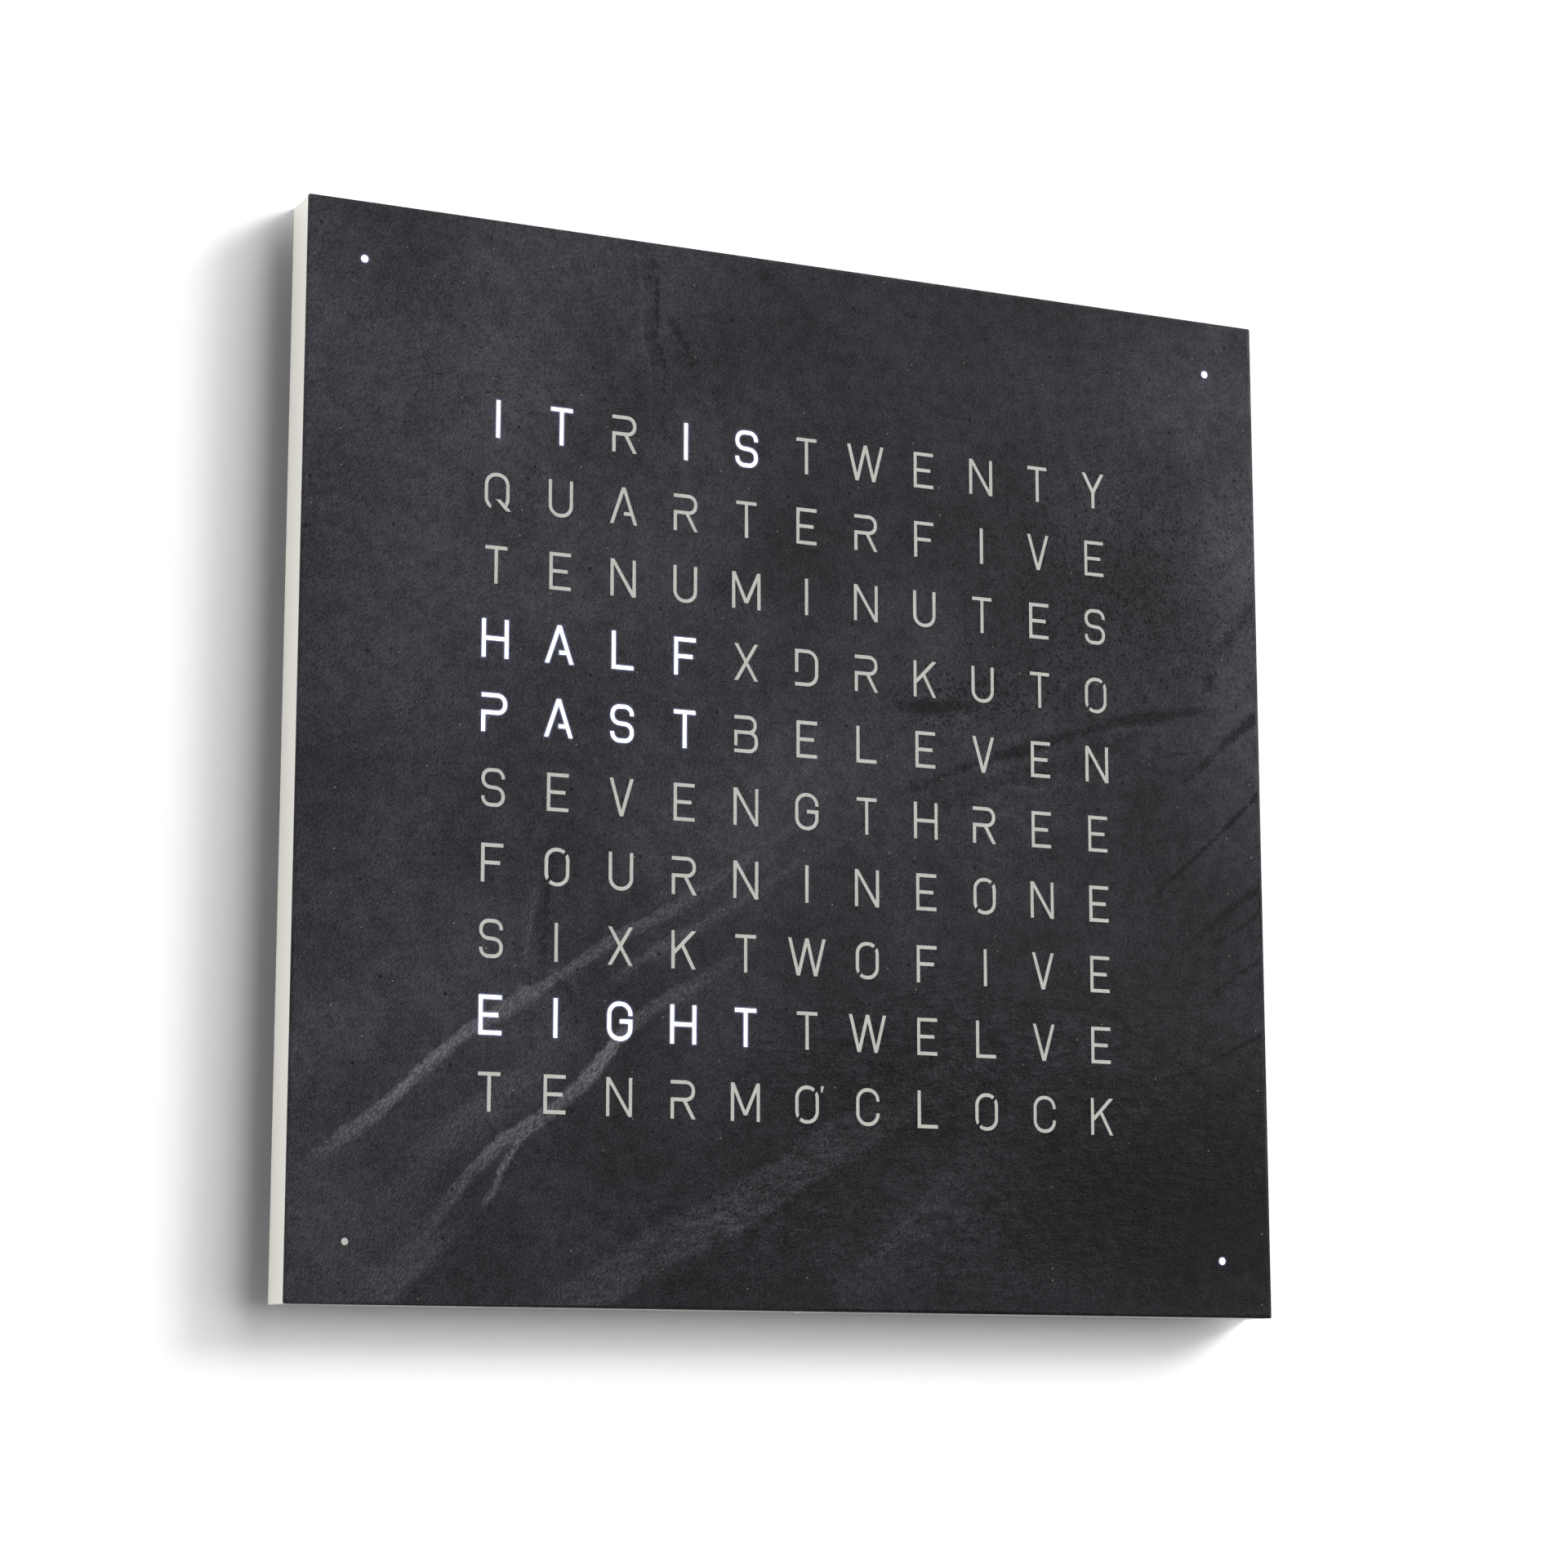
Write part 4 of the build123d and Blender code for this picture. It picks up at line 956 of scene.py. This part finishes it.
@dataclass
class SlateVeneer:
    """The slate sheet: the CAD outline and letter openings with a riven front instead of a flat one.

    Attributes:
        material: what it is made of.
        pitch: distance between the front's relief points.
        jitter: share of the pitch by which they are off their grid.
        skin: how far the highest stone lies behind the CAD's plane.
        grain_relief: depth of the cleavage grain, in millimetres.
        grain_climb: degrees from +X towards +Z of the line that it lies along.
        grain_reach: how long and how wide its swells are, in millimetres.
        border: width of the rim over which the relief dies out, in millimetres.
        glow_reach: how far the painted glow of a lit letter reaches over the stone.
        rings: distance from a lit letter and spacing of each ring of closer points.
        sharp_edge: widest vein edge that gets closer points, in millimetres.
        edge_margin: how much wider than the vein their strip is, in millimetres.
        edge_share: their spacing as a share of the pitch.
        lit_points: points along the outlines of the lit letters, as (x, z, 0).
    """

    material: bpy.types.Material
    pitch: float = 2.0 * MM
    jitter: float = 0.25
    skin: float = 0.03 * MM
    grain_relief: float = 0.10
    grain_climb: float = 36.0
    grain_reach: Point = (42, 13)
    border: float = 4.0
    glow_reach: float = 0.9 * MM
    rings: tuple[Point, ...] = ((0.3 * MM, 0.45 * MM), (0.75 * MM, 0.7 * MM))
    sharp_edge: float = 2.6
    edge_margin: float = 1.5
    edge_share: float = 0.55
    lit_points: list[Vector] = field(default_factory=list)

    def build(self) -> bpy.types.Object:
        """Make the sheet and let it ride on the front cover.

        Returns:
            The sheet.
        """
        self.lit_points = self.outline_points("lit_letters") + self.outline_points("lit_minute_dots")
        obj = merged_copy("slate_face", "slate_veneer")
        self.remesh_front(obj.data)
        self.add_relief(obj.data)
        obj.data.materials.clear()
        obj.data.materials.append(self.material)
        smooth(obj, 30)
        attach(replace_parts(obj, "slate_face"), COVER)
        LOG.info("slate_veneer: %d faces", len(obj.data.polygons))
        return obj

    def outline_points(self, node: str, spacing: float = 0.45 * MM) -> list[Vector]:
        """Set points along the front outlines of a letter node.

        Args:
            node: the node's name.
            spacing: about how far apart they are.

        Returns:
            The points, as (x, z, 0).
        """
        mesh = read_node(node)
        points = []
        for edge in mesh.edges:
            fronts = sum(face.normal.y < TO_FRONT for face in edge.link_faces)
            if fronts != 1 or max(v.co.y for v in edge.verts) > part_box(node)[0].y + 10 * WELD:
                continue
            a, b = (Vector((v.co.x, v.co.z, 0)) for v in edge.verts)
            steps = max(1, round((b - a).length / spacing))
            points += [a.lerp(b, step / steps) for step in range(steps)]
        mesh.free()
        return points

    def remesh_front(self, data: bpy.types.Mesh) -> None:
        """Swap the flat front for a fine triangle mesh between the same outlines.

        Args:
            data: the sheet's mesh.
        """
        mesh = bmesh.new()
        mesh.from_mesh(data)
        mesh.normal_update()
        front = [face for face in mesh.faces if face.normal.y < TO_FRONT]
        rims = [edge for edge in mesh.edges if sum(face.normal.y < TO_FRONT for face in edge.link_faces) == 1]
        stone = BVHTree.FromPolygons([vert.co for vert in mesh.verts],
                                     [[vert.index for vert in face.verts] for face in front])
        bmesh.ops.delete(mesh, geom=front, context="FACES_ONLY")
        bmesh.ops.delete(mesh, geom=[edge for edge in mesh.edges if not edge.link_faces], context="EDGES")
        rim_verts = list({vert for edge in rims for vert in edge.verts})
        number = {vert: index for index, vert in enumerate(rim_verts)}
        flat = [Vector((vert.co.x, vert.co.z)) for vert in rim_verts] + self.inner_points()
        joins = [(number[edge.verts[0]], number[edge.verts[1]]) for edge in rims]
        inside = 1
        places, _, triangles, origins, _, _ = geometry.delaunay_2d_cdt(flat, joins, [], inside, WELD / 10)
        verts = {}

        def vert_at(index: int) -> bmesh.types.BMVert:
            """Find the vertex of a point of the net.

            Args:
                index: the point.

            Returns:
                One of the rim's, or a new one.
            """
            if index not in verts:
                rim = next((i for i in origins[index] if i < len(rim_verts)), None)
                place = places[index]
                new = (place.x, FRONT_Y, place.y)
                verts[index] = rim_verts[rim] if rim is not None else mesh.verts.new(new)
            return verts[index]

        for triangle in triangles:
            middle = sum((places[index] for index in triangle), Vector((0, 0))) / 3
            above = Vector((middle.x, FRONT_Y - MM, middle.y))
            in_stone = stone.ray_cast(above, Vector((0, 1, 0)), 2 * MM)[0]
            corners = [vert_at(index) for index in triangle] if in_stone else []
            if len(set(corners)) == 3:
                mesh.faces.new(corners)
        mesh.normal_update()
        sheet = [face for face in mesh.faces if max(vert.co.y for vert in face.verts) < FRONT_Y + WELD]
        if sum(face.normal.y for face in sheet) > 0:
            bmesh.ops.reverse_faces(mesh, faces=sheet)
        mesh.to_mesh(data)
        mesh.free()

    def inner_points(self) -> list[Vector]:
        """Set relief points over the whole front, with closer ones at sharp veins and round lit letters.

        Returns:
            The points, as (x, z).
        """
        count = round(2 * HALF_SIDE / self.pitch)
        lines = np.linspace(-HALF_SIDE, HALF_SIDE, count + 1)[1:-1]
        size = (len(lines), len(lines), 2)
        shift = np.random.default_rng(7).uniform(-self.jitter, self.jitter, size) * self.pitch
        points = [Vector((x + shift[i, k, 0], z + shift[i, k, 1]))
                  for i, x in enumerate(lines) for k, z in enumerate(lines)]
        points += self.edge_points()
        tree = search_tree(self.lit_points)
        outer = self.rings[-1][0]
        kept = [p for p in points if tree.find((p.x, p.y, 0))[2] > outer * 1.3]
        turns = [Vector((math.cos(t), math.sin(t), 0))
                 for t in np.linspace(0, 2 * math.pi, 8, endpoint=False)]
        for reach, cell in self.rings:
            taken: set[tuple[int, int]] = set()
            for point in self.lit_points:
                for turn in turns:
                    spot = point + turn * reach
                    key = (round(spot.x / cell), round(spot.y / cell))
                    if key not in taken and tree.find(spot)[2] > 0.9 * reach:
                        taken.add(key)
                        kept.append(spot.to_2d())
        return kept

    def edge_points(self) -> list[Vector]:
        """Set closer points in and beside the sharp veins, so that their edges aren't stepped.

        Returns:
            The points, as (x, z).
        """
        line = np.arange(-HALF_SIDE + self.pitch, HALF_SIDE - self.pitch, self.edge_share * self.pitch)
        spots = np.stack(np.meshgrid(line, line), -1).reshape(-1, 2)
        near = np.zeros(len(spots), bool)
        for vein in VEINS:
            if vein.edge <= self.sharp_edge:
                near |= replace(vein, width=vein.width + self.edge_margin).share(spots / MM, 0.0) > 0.02
        return [Vector(spot) for spot in spots[near]]

    def add_relief(self, data: bpy.types.Mesh) -> None:
        """Sink the front by veins and cleavage; store how each mark tones it, and the lit letters' painted glow.

        Args:
            data: the sheet's mesh.
        """
        places = np.zeros(len(data.vertices) * 3)
        data.vertices.foreach_get("co", places)
        places = places.reshape(-1, 3)
        front = places[:, 1] < FRONT_Y + WELD
        spots = places[:, [0, 2]] / MM
        # The veins stray by up to 1.6 mm every 5 mm and by up to 2.5 mm every 24 mm, and narrow ones by less
        stray = waver(spots, 5, 3.0) * 1.6 + waver(spots, 24, 9.0) * 2.5
        tones = {mark: np.zeros(len(spots)) for mark in Mark}
        depth = np.zeros(len(spots))
        for vein in VEINS:
            share = vein.share(spots, stray * min(0.6, (vein.width + vein.edge) / 13))
            tones[vein.kind] = np.maximum(tones[vein.kind], vein.strength * share)
            depth += vein.sink * share
        turn = Matrix.Rotation(math.radians(-self.grain_climb), 2)
        for index, (x, z) in enumerate(spots):
            along, across = turn @ Vector((x, z))
            swell = Vector((along / self.grain_reach[0], across / self.grain_reach[1], 0))
            depth[index] += self.grain_relief * (0.5 + noise.fractal(swell, 1.0, 2.0, 4))
        for zone in ZONES:
            tones[zone.kind] += zone.share(spots)
        inward = HALF_SIDE / MM - np.abs(spots).max(axis=1)
        depth = np.clip(depth, 0, None) * np.clip(inward / self.border, 0, 1) * MM
        places[front, 1] = FRONT_Y + self.skin + depth[front]
        data.vertices.foreach_set("co", places.ravel())
        tree = search_tree(self.lit_points)
        near = np.array([tree.find((x, z, 0))[2] for x, _, z in places])
        # Nearness to a lit letter, which the stone's painted glow follows
        glow = np.clip(1 - near / self.glow_reach, 0, 1) * front
        layers = {GLOW: glow, **{mark.value: tone for mark, tone in tones.items()}}
        for name, values in layers.items():
            data.attributes.new(name, "FLOAT", "POINT").data.foreach_set("value", values.astype(np.float32))
        data.update()


# ---- screws --------------------------------------------------------------------------------------
class Head(Enum):
    """The shape of a screw's head."""

    PAN = "pan"
    FLUSH = "flush"


@dataclass(frozen=True)
class FastenerSet:
    """Cross-recessed thread-forming screws in the places of one CAD node.

    Attributes:
        node: the node's name.
        head: the shape of their heads.
        from_wall: whether they are driven from the wall's side, so that their heads face +Y.
        thread_radius: reach of the thread's ridge; the shank between its turns has core_radius.
        thread_pitch: height that one turn of the thread climbs.
        rows_per_turn: rows of vertices that draw one turn.
        recess_span: length of the cross's arms from tip to tip, at the top of the head.
    """

    node: str
    head: Head
    from_wall: bool
    head_radius: float = 2.3 * MM
    head_height: float = 1.5 * MM
    core_radius: float = 0.95 * MM
    thread_radius: float = 1.24 * MM
    thread_pitch: float = 1.0 * MM
    rows_per_turn: int = 4
    segments: int = 24
    recess_width: float = 0.75 * MM
    recess_span: float = 2.9 * MM
    recess_depth: float = 0.95 * MM

    def build(self, material: bpy.types.Material) -> bpy.types.Object:
        """Make the screws as one object that replaces the CAD node.

        Args:
            material: what they are made of.

        Returns:
            The screws.
        """
        places = self.places()
        top = self.head_height if self.head is Head.PAN else 0.0
        low, high = places[0]
        blank = self.turn_blank(high.y - low.y - top)
        self.cut_recess(blank, top)
        facing = Matrix.Rotation(math.radians(-90 if self.from_wall else 90), 4, "X")
        moves = []
        for number, (low, high) in enumerate(places):
            seat = high.y - top if self.from_wall else low.y + top
            middle = Vector(((low.x + high.x) / 2, seat, (low.z + high.z) / 2))
            twist = Matrix.Rotation(math.radians(37 * number % 90), 4, "Z")
            moves.append(Matrix.Translation(middle) @ facing @ twist)
        obj = scatter(blank, moves, f"cross_{self.node}", material)
        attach(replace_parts(obj, self.node), WALL_UNIT)
        LOG.info("%s: %d screws", obj.name, len(places))
        return obj

    def places(self) -> list[tuple[Vector, Vector]]:
        """Find the screws of the CAD node.

        Returns:
            The lowest and the highest corner of each one's box.
        """
        mesh = read_node(self.node)
        left = set(mesh.verts)
        boxes = []
        while left:
            island, edge = set(), {next(iter(left))}
            while edge:
                island |= edge
                edge = {link.other_vert(vert) for vert in edge for link in vert.link_edges} - island
            left -= island
            corners = [[vert.co[axis] for vert in island] for axis in range(3)]
            boxes.append((Vector([min(c) for c in corners]), Vector([max(c) for c in corners])))
        mesh.free()
        return sorted(boxes, key=lambda box: (round(box[0].x, 4), round(box[0].z, 4)))

    def profile(self, length: float) -> list[Point]:
        """Draw half of a screw's outline; the seat of its head, or a flush top, is at height 0.

        Args:
            length: from height 0 to the tip.

        Returns:
            Radius and height from the middle of the head to the tip.
        """
        radius, core = self.head_radius, self.core_radius
        if self.head is Head.PAN:
            dome = [(radius * math.sin(t), self.head_height * (0.35 + 0.65 * math.cos(t)))
                    for t in np.linspace(0, math.pi / 2, 8)]
            head = [*dome, (radius, 0.06 * self.head_height), (0.97 * radius, 0.0), (core, 0.0)]
        else:
            head = [(0.0, 0.0), (0.5 * radius, 0.0), (0.94 * radius, 0.0), (radius, -0.05 * radius),
                    (core, core - radius)]
        start = head[-1][1]
        rows = round((start + length - core) / self.thread_pitch * self.rows_per_turn)
        shank = [(core, start - (row + 1) * self.thread_pitch / self.rows_per_turn)
                 for row in range(rows - 1)]
        return [*head, *shank, (0.75 * core, 0.4 * core - length), (0.0, -length)]

    def turn_blank(self, length: float) -> bpy.types.Object:
        """Turn the outline into a screw and raise the thread on its shank.

        Args:
            length: from the seat of its head, or a flush top, to its tip.

        Returns:
            The screw, its head up and its seat at the origin.
        """
        data = bpy.data.meshes.new("screw_blank")
        points = self.profile(length)
        data.from_pydata([(r, 0, z) for r, z in points], [(i, i + 1) for i in range(len(points) - 1)], [])
        obj = new_object("screw_blank", data)
        alter(obj, "SCREW", axis="Z", steps=self.segments, render_steps=self.segments,
              use_merge_vertices=True, merge_threshold=WELD / 10, use_normal_calculate=True)
        weld(obj, WELD / 10, turn_out=True)
        start = 0.0 if self.head is Head.PAN else self.core_radius - self.head_radius
        for vert in obj.data.vertices:
            reach = vert.co.xy.length
            if abs(reach - self.core_radius) > WELD or vert.co.z > start - self.thread_pitch / 2:
                continue
            phase = (vert.co.z / self.thread_pitch - math.atan2(vert.co.y, vert.co.x) / (2 * math.pi)) % 1.0
            ridge = max(0.0, 1 - 4 * abs(phase - 0.5))
            grow = (self.core_radius + ridge * (self.thread_radius - self.core_radius)) / reach
            vert.co.x, vert.co.y = vert.co.x * grow, vert.co.y * grow
        return obj

    def cut_recess(self, blank: bpy.types.Object, top: float) -> None:
        """Cut the tapered cross into the head.

        Args:
            blank: the screw.
            top: height of its head's top.
        """
        for turn in (0.0, math.pi / 2):
            size = (self.recess_span, self.recess_width, 2 * self.recess_depth)
            arm = block(size, Vector((0, 0, top)), (0, 0, turn))
            for vert in arm.data.vertices:
                if vert.co.z < 0:
                    vert.co.x *= 0.4
                    vert.co.y *= 0.75
            cut(blank, arm)


FASTENERS = (
    FastenerSet("hanger_screws", Head.FLUSH, True),
    FastenerSet("service_cover_screws", Head.FLUSH, True),
    FastenerSet("light_board_screws", Head.PAN, False),
    FastenerSet("minute_board_screws", Head.PAN, False),
    FastenerSet("controller_screws", Head.PAN, False),
)


# ---- moulded and pressed pieces ------------------------------------------------------------------
@dataclass(frozen=True)
class SoftPiece:
    """A CAD piece whose sharp edges get the small radius that moulding, pressing or spraying leaves.

    Attributes:
        node: the CAD node's name.
        radius: that radius.
        body: what the piece rides on.
        steepest: degrees between two faces past which their edge is sharp.
    """

    node: str
    radius: float
    body: str = WALL_UNIT
    steepest: float = 40.0

    def build(self) -> bpy.types.Object:
        """Round the edges of a merged copy and let it replace the CAD node.

        Returns:
            The rounded piece.
        """
        obj = merged_copy(self.node, f"soft_{self.node}")
        self.shape(obj)
        alter(obj, "BEVEL", width=self.radius, segments=3, limit_method="ANGLE",
              angle_limit=math.radians(self.steepest), use_clamp_overlap=True)
        smooth(obj, 45)
        alter(obj, "WEIGHTED_NORMAL", weight=100, keep_sharp=True)
        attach(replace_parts(obj, self.node), self.body)
        LOG.info("%s: %d faces", obj.name, len(obj.data.polygons))
        return obj

    def shape(self, obj: bpy.types.Object) -> None:
        """Further shaping before the edges are rounded; plain pieces need none."""


@dataclass(frozen=True)
class ServiceCover(SoftPiece):
    """The plate over the battery and buttons, with a moulded-in sign above each button."""

    sign_size: float = 3.4 * MM
    sign_line: float = 0.8 * MM
    sign_depth: float = 0.4 * MM
    sign_above: float = 6.4 * MM

    def shape(self, obj: bpy.types.Object) -> None:
        """Sink a ring above the mode key, a bar above minus and a cross above plus.

        Args:
            obj: the plate.
        """
        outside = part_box(self.node)[1].y
        for key in KEYS:
            x, z = within(f"{key}_button", 0.5, 0.5)
            place = Vector((x, outside, z + self.sign_above))
            if key == "mode":
                cut(obj, primitive("torus", major_radius=self.sign_size / 2, minor_radius=self.sign_line / 2,
                                   major_segments=32, minor_segments=8, location=place,
                                   rotation=(math.pi / 2, 0, 0)))
                continue
            for turn in (0.0, math.pi / 2) if key == "plus" else (0.0,):
                cut(obj, block((self.sign_size, 2 * self.sign_depth, self.sign_line), place, (0, turn, 0)))


SOFT_PIECES = (
    ServiceCover("service_cover", 0.12 * MM),
    SoftPiece("hanger_plate_left", 0.15 * MM),
    SoftPiece("hanger_plate_right", 0.15 * MM),
    SoftPiece("mode_button", 0.3 * MM, "mode_key"),
    SoftPiece("minus_button", 0.3 * MM, "minus_key"),
    SoftPiece("plus_button", 0.3 * MM, "plus_key"),
    SoftPiece("power_inlet", 0.3 * MM),
    SoftPiece("cell_holder", 0.25 * MM),
    SoftPiece("battery_clip", 0.15 * MM),
    SoftPiece("coin_cell", 0.12 * MM),
    SoftPiece("power_capacitor", 0.3 * MM),
    SoftPiece("clock_crystal", 0.2 * MM),
    SoftPiece("controller_chip", 0.1 * MM),
    SoftPiece("light_sensor", 0.2 * MM),
    SoftPiece("ribbon_headers", 0.15 * MM),
)


# ---- solder --------------------------------------------------------------------------------------
@dataclass(frozen=True)
class SolderJoints:
    """Joints on the front of the controller board, where the legs of the parts behind it come through."""

    radius: float = 0.75 * MM
    height: float = 0.7 * MM
    leg_radius: float = 0.25 * MM
    leg_proud: float = 1.0 * MM
    header_pitch: float = 2.0 * MM
    header_legs: int = 6
    header_up: float = 1.6 * MM
    header_below_edge: float = 2.6 * MM

    def build(self, material: bpy.types.Material) -> bpy.types.Object:
        """Make all the joints as one object.

        Args:
            material: what they are made of.

        Returns:
            The joints.
        """
        cone = primitive("cone", vertices=16, radius1=self.radius, radius2=1.2 * self.leg_radius,
                         depth=self.height, location=(0, 0, self.height / 2))
        for vert in cone.data.vertices:
            if vert.co.z > 0:
                vert.co.z *= 0.9
        primitive("cylinder", vertices=8, radius=self.leg_radius, depth=self.leg_proud,
                  location=(0, 0, self.leg_proud / 2))
        cone.select_set(True)
        bpy.context.view_layer.objects.active = cone
        bpy.ops.object.join()
        bpy.ops.object.transform_apply(location=True)
        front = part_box("controller_board")[0].y
        turn = Matrix.Rotation(math.pi / 2, 4, "X")
        moves = [Matrix.Translation((x, front, z)) @ turn for x, z in self.places()]
        obj = scatter(cone, moves, "controller_solder", material)
        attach(obj, WALL_UNIT)
        LOG.info("controller_solder: %d joints", len(moves))
        return obj

    def places(self) -> list[Point]:
        """Set a joint for every leg, by the part that the leg belongs to.

        Returns:
            Their (x, z).
        """
        spots = [within("power_inlet", x, z) for x, z in ((0.5, 0.3), (0.5, 0.75), (0.9, 0.55))]
        spots += [within("cell_holder", x, 0.5) for x in (0.07, 0.93)]
        spots += [within("power_capacitor", x, 0.5) for x in (0.28, 0.72)]
        spots += [within("clock_crystal", 0.5, z) for z in (0.3, 0.7)]
        for key in KEYS:
            spots += [within(f"{key}_button", x, z) for x in (0.15, 0.85) for z in (0.15, 0.85)]
        middle, foot = within("ribbon_headers", 0.5, 0.0)
        row_z = min(foot + self.header_up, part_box("controller_board")[1].z - self.header_below_edge)
        first = middle - (self.header_legs - 1) / 2 * self.header_pitch
        spots += [(first + count * self.header_pitch, row_z + row * self.header_pitch)
                  for count in range(self.header_legs) for row in (0, 1)]
        return spots


# ---- studio --------------------------------------------------------------------------------------
def backdrop(name: str, colour: str, given: float, shown: float,
             open_behind: bool = False) -> bpy.types.Material:
    """Matt white paint, whose brightness to look at is apart from the light that it gives back.

    Args:
        name: the material's name.
        colour: its hex colour for plain display.
        given: share of the light that it gives back to the clock.
        shown: how bright it is to look at.
        open_behind: whether it is clear from behind.

    Returns:
        The material.
    """
    shader = Shader(name, Finish(colour, 1.0, specular=0.0))
    tone = shader.add("MapRange", {0: showing_rays(shader.tree), 3: given, 4: shown})
    surface = shader.add("BsdfDiffuse", {"Color": tone})
    if open_behind:
        surface = shader.add("MixShader", {0: shader.add("NewGeometry", out="Backfacing"), 1: surface,
                                           2: shader.add("BsdfTransparent")})
    shader.tree.links.new(surface, shader.tree.nodes["Material Output"].inputs["Surface"])
    return shader.material


@dataclass(frozen=True)
class Sun:
    """A distant soft lamp; towards points from the clock to it, softness is its angle across in degrees."""

    name: str
    towards: Triple
    strength: float
    softness: float

    def build(self) -> None:
        """Add the lamp."""
        lamp = bpy.data.lights.new(self.name, "SUN")
        lamp.energy = self.strength
        lamp.angle = math.radians(self.softness)
        obj = new_object(self.name, lamp)
        obj.rotation_euler = Vector(self.towards).to_track_quat("Z", "Y").to_euler()


@dataclass
class Studio:
    """Camera, plain wall and floor, and soft lamps.

    Attributes:
        camera_turn: its turn about X, Y and Z in degrees.
        lens: its focal length in millimetres, on a sensor 36 mm wide.
        wall_gap: distance of the wall behind the clock's back.
        wall_half: half a side of the wall and of the floor.
        hole_lap: how far the wall reaches in behind the clock's edge.
        ambient: strength of the even light from all round.
        wall_given: share of the light that the wall gives back to the clock.
        wall_shown: how bright the wall is to look at.
        floor_given: share of the light that the floor gives back to the clock.
        floor_shown: how bright the floor is to look at.
    """

    camera_place: Triple = (-0.65956, -1.41586, -0.27455)
    camera_turn: Triple = (99.951, 0.0, -24.930)
    lens: float = 84.96
    wall_gap: float = 0.2 * MM
    wall_half: float = 4.0
    hole_lap: float = 0.4 * MM
    floor_z: float = -1.75
    ambient: float = 0.086
    wall_given: float = 0.8
    wall_shown: float = 1.94
    floor_given: float = 0.107
    floor_shown: float = 1.35
    suns: tuple[Sun, ...] = (
        Sun("key", (1.53, -1.0, 0.86), 2.05, 74.0),
        Sun("high_right", (2.27, -1.0, 1.29), 1.68, 22.0),
        Sun("left_side", (-0.99, -0.018, -0.14), 3.25, 6.0),
        Sun("behind", (-0.25, 0.8, 0.45), 2.8, 40.0),
    )

    def build(self) -> None:
        """Make everything that isn't part of the clock."""
        self.build_camera()
        self.build_wall()
        self.build_floor()
        self.build_world()
        for sun in self.suns:
            sun.build()
        bpy.context.scene.view_settings.view_transform = "Standard"
        LOG.info("studio ready")

    def build_camera(self) -> None:
        """Add the camera, in front of the clock and below it to its left."""
        data = bpy.data.cameras.new("main_camera")
        data.lens = self.lens
        data.sensor_width = 36.0
        obj = new_object("main_camera", data)
        obj.location = self.camera_place
        obj.rotation_euler = [math.radians(angle) for angle in self.camera_turn]
        bpy.context.scene.camera = obj

    def build_wall(self) -> None:
        """Add the wall, open behind the clock and clear from behind, so that the back can be looked at."""
        wall = primitive("plane", size=2 * self.wall_half, rotation=(math.pi / 2, 0, 0),
                         location=(0, self.wall_gap, 0))
        wall.name = "backdrop_wall"
        bpy.ops.object.transform_apply(location=True, rotation=True)
        bpy.ops.object.mode_set(mode="EDIT")
        bpy.ops.mesh.select_all(action="SELECT")
        bpy.ops.mesh.inset(thickness=self.wall_half - HALF_SIDE + self.hole_lap)
        bpy.ops.mesh.delete(type="FACE")
        bpy.ops.object.mode_set(mode="OBJECT")
        paint = backdrop("backdrop_white", "fbfbfb", self.wall_given, self.wall_shown, open_behind=True)
        wall.data.materials.append(paint)

    def build_floor(self) -> None:
        """Add a pale floor well below the clock."""
        floor = primitive("plane", size=2 * self.wall_half, location=(0, 0, self.floor_z))
        floor.name = "backdrop_floor"
        bpy.ops.object.transform_apply(location=True)
        paint = backdrop("floor_white", "f4f4f2", self.floor_given, self.floor_shown)
        floor.data.materials.append(paint)

    def build_world(self) -> None:
        """Add soft ambient light, and a white backdrop for what the camera and the reflections see."""
        world = bpy.data.worlds.new("studio_world")
        bpy.context.scene.world = world
        world.use_nodes = True
        tree = world.node_tree
        white = linear("ffffff")
        dim = tree.nodes["Background"]
        dim.inputs[0].default_value = white
        dim.inputs[1].default_value = self.ambient
        bright = add_node(tree, "Background", {0: white})
        mix = add_node(tree, "MixShader", {0: showing_rays(tree), 1: dim.outputs[0], 2: bright})
        tree.links.new(mix, tree.nodes["World Output"].inputs[0])


# ---- the whole -----------------------------------------------------------------------------------
def dress_cad(library: dict[str, bpy.types.Material]) -> None:
    """Give every CAD node the material of its slot.

    Args:
        library: the materials by slot.
    """
    for name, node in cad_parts.items():
        for place in node.material_slots:
            place.material = library[SLOTS[name]]
        if name in ("tray", "opal_panel"):
            node.visible_diffuse = False    # they throw no light on the wall, so its shadow stays deep
        LOG.info("%s: %s", name, ", ".join(place.material.name for place in node.material_slots))


def main() -> None:
    """Build the scene, piece by piece."""
    logging.basicConfig(level=logging.INFO, format="%(message)s")
    Studio().build()
    library = finishes()
    dress_cad(library)
    SlateVeneer(library["slate"], 1.8 * MM).build()
    for piece in SOFT_PIECES:
        piece.build()
    for screws in FASTENERS:
        screws.build(library[SLOTS[screws.node]])
    SolderJoints().build(library["steel"])


if __name__ == "__main__":
    main()
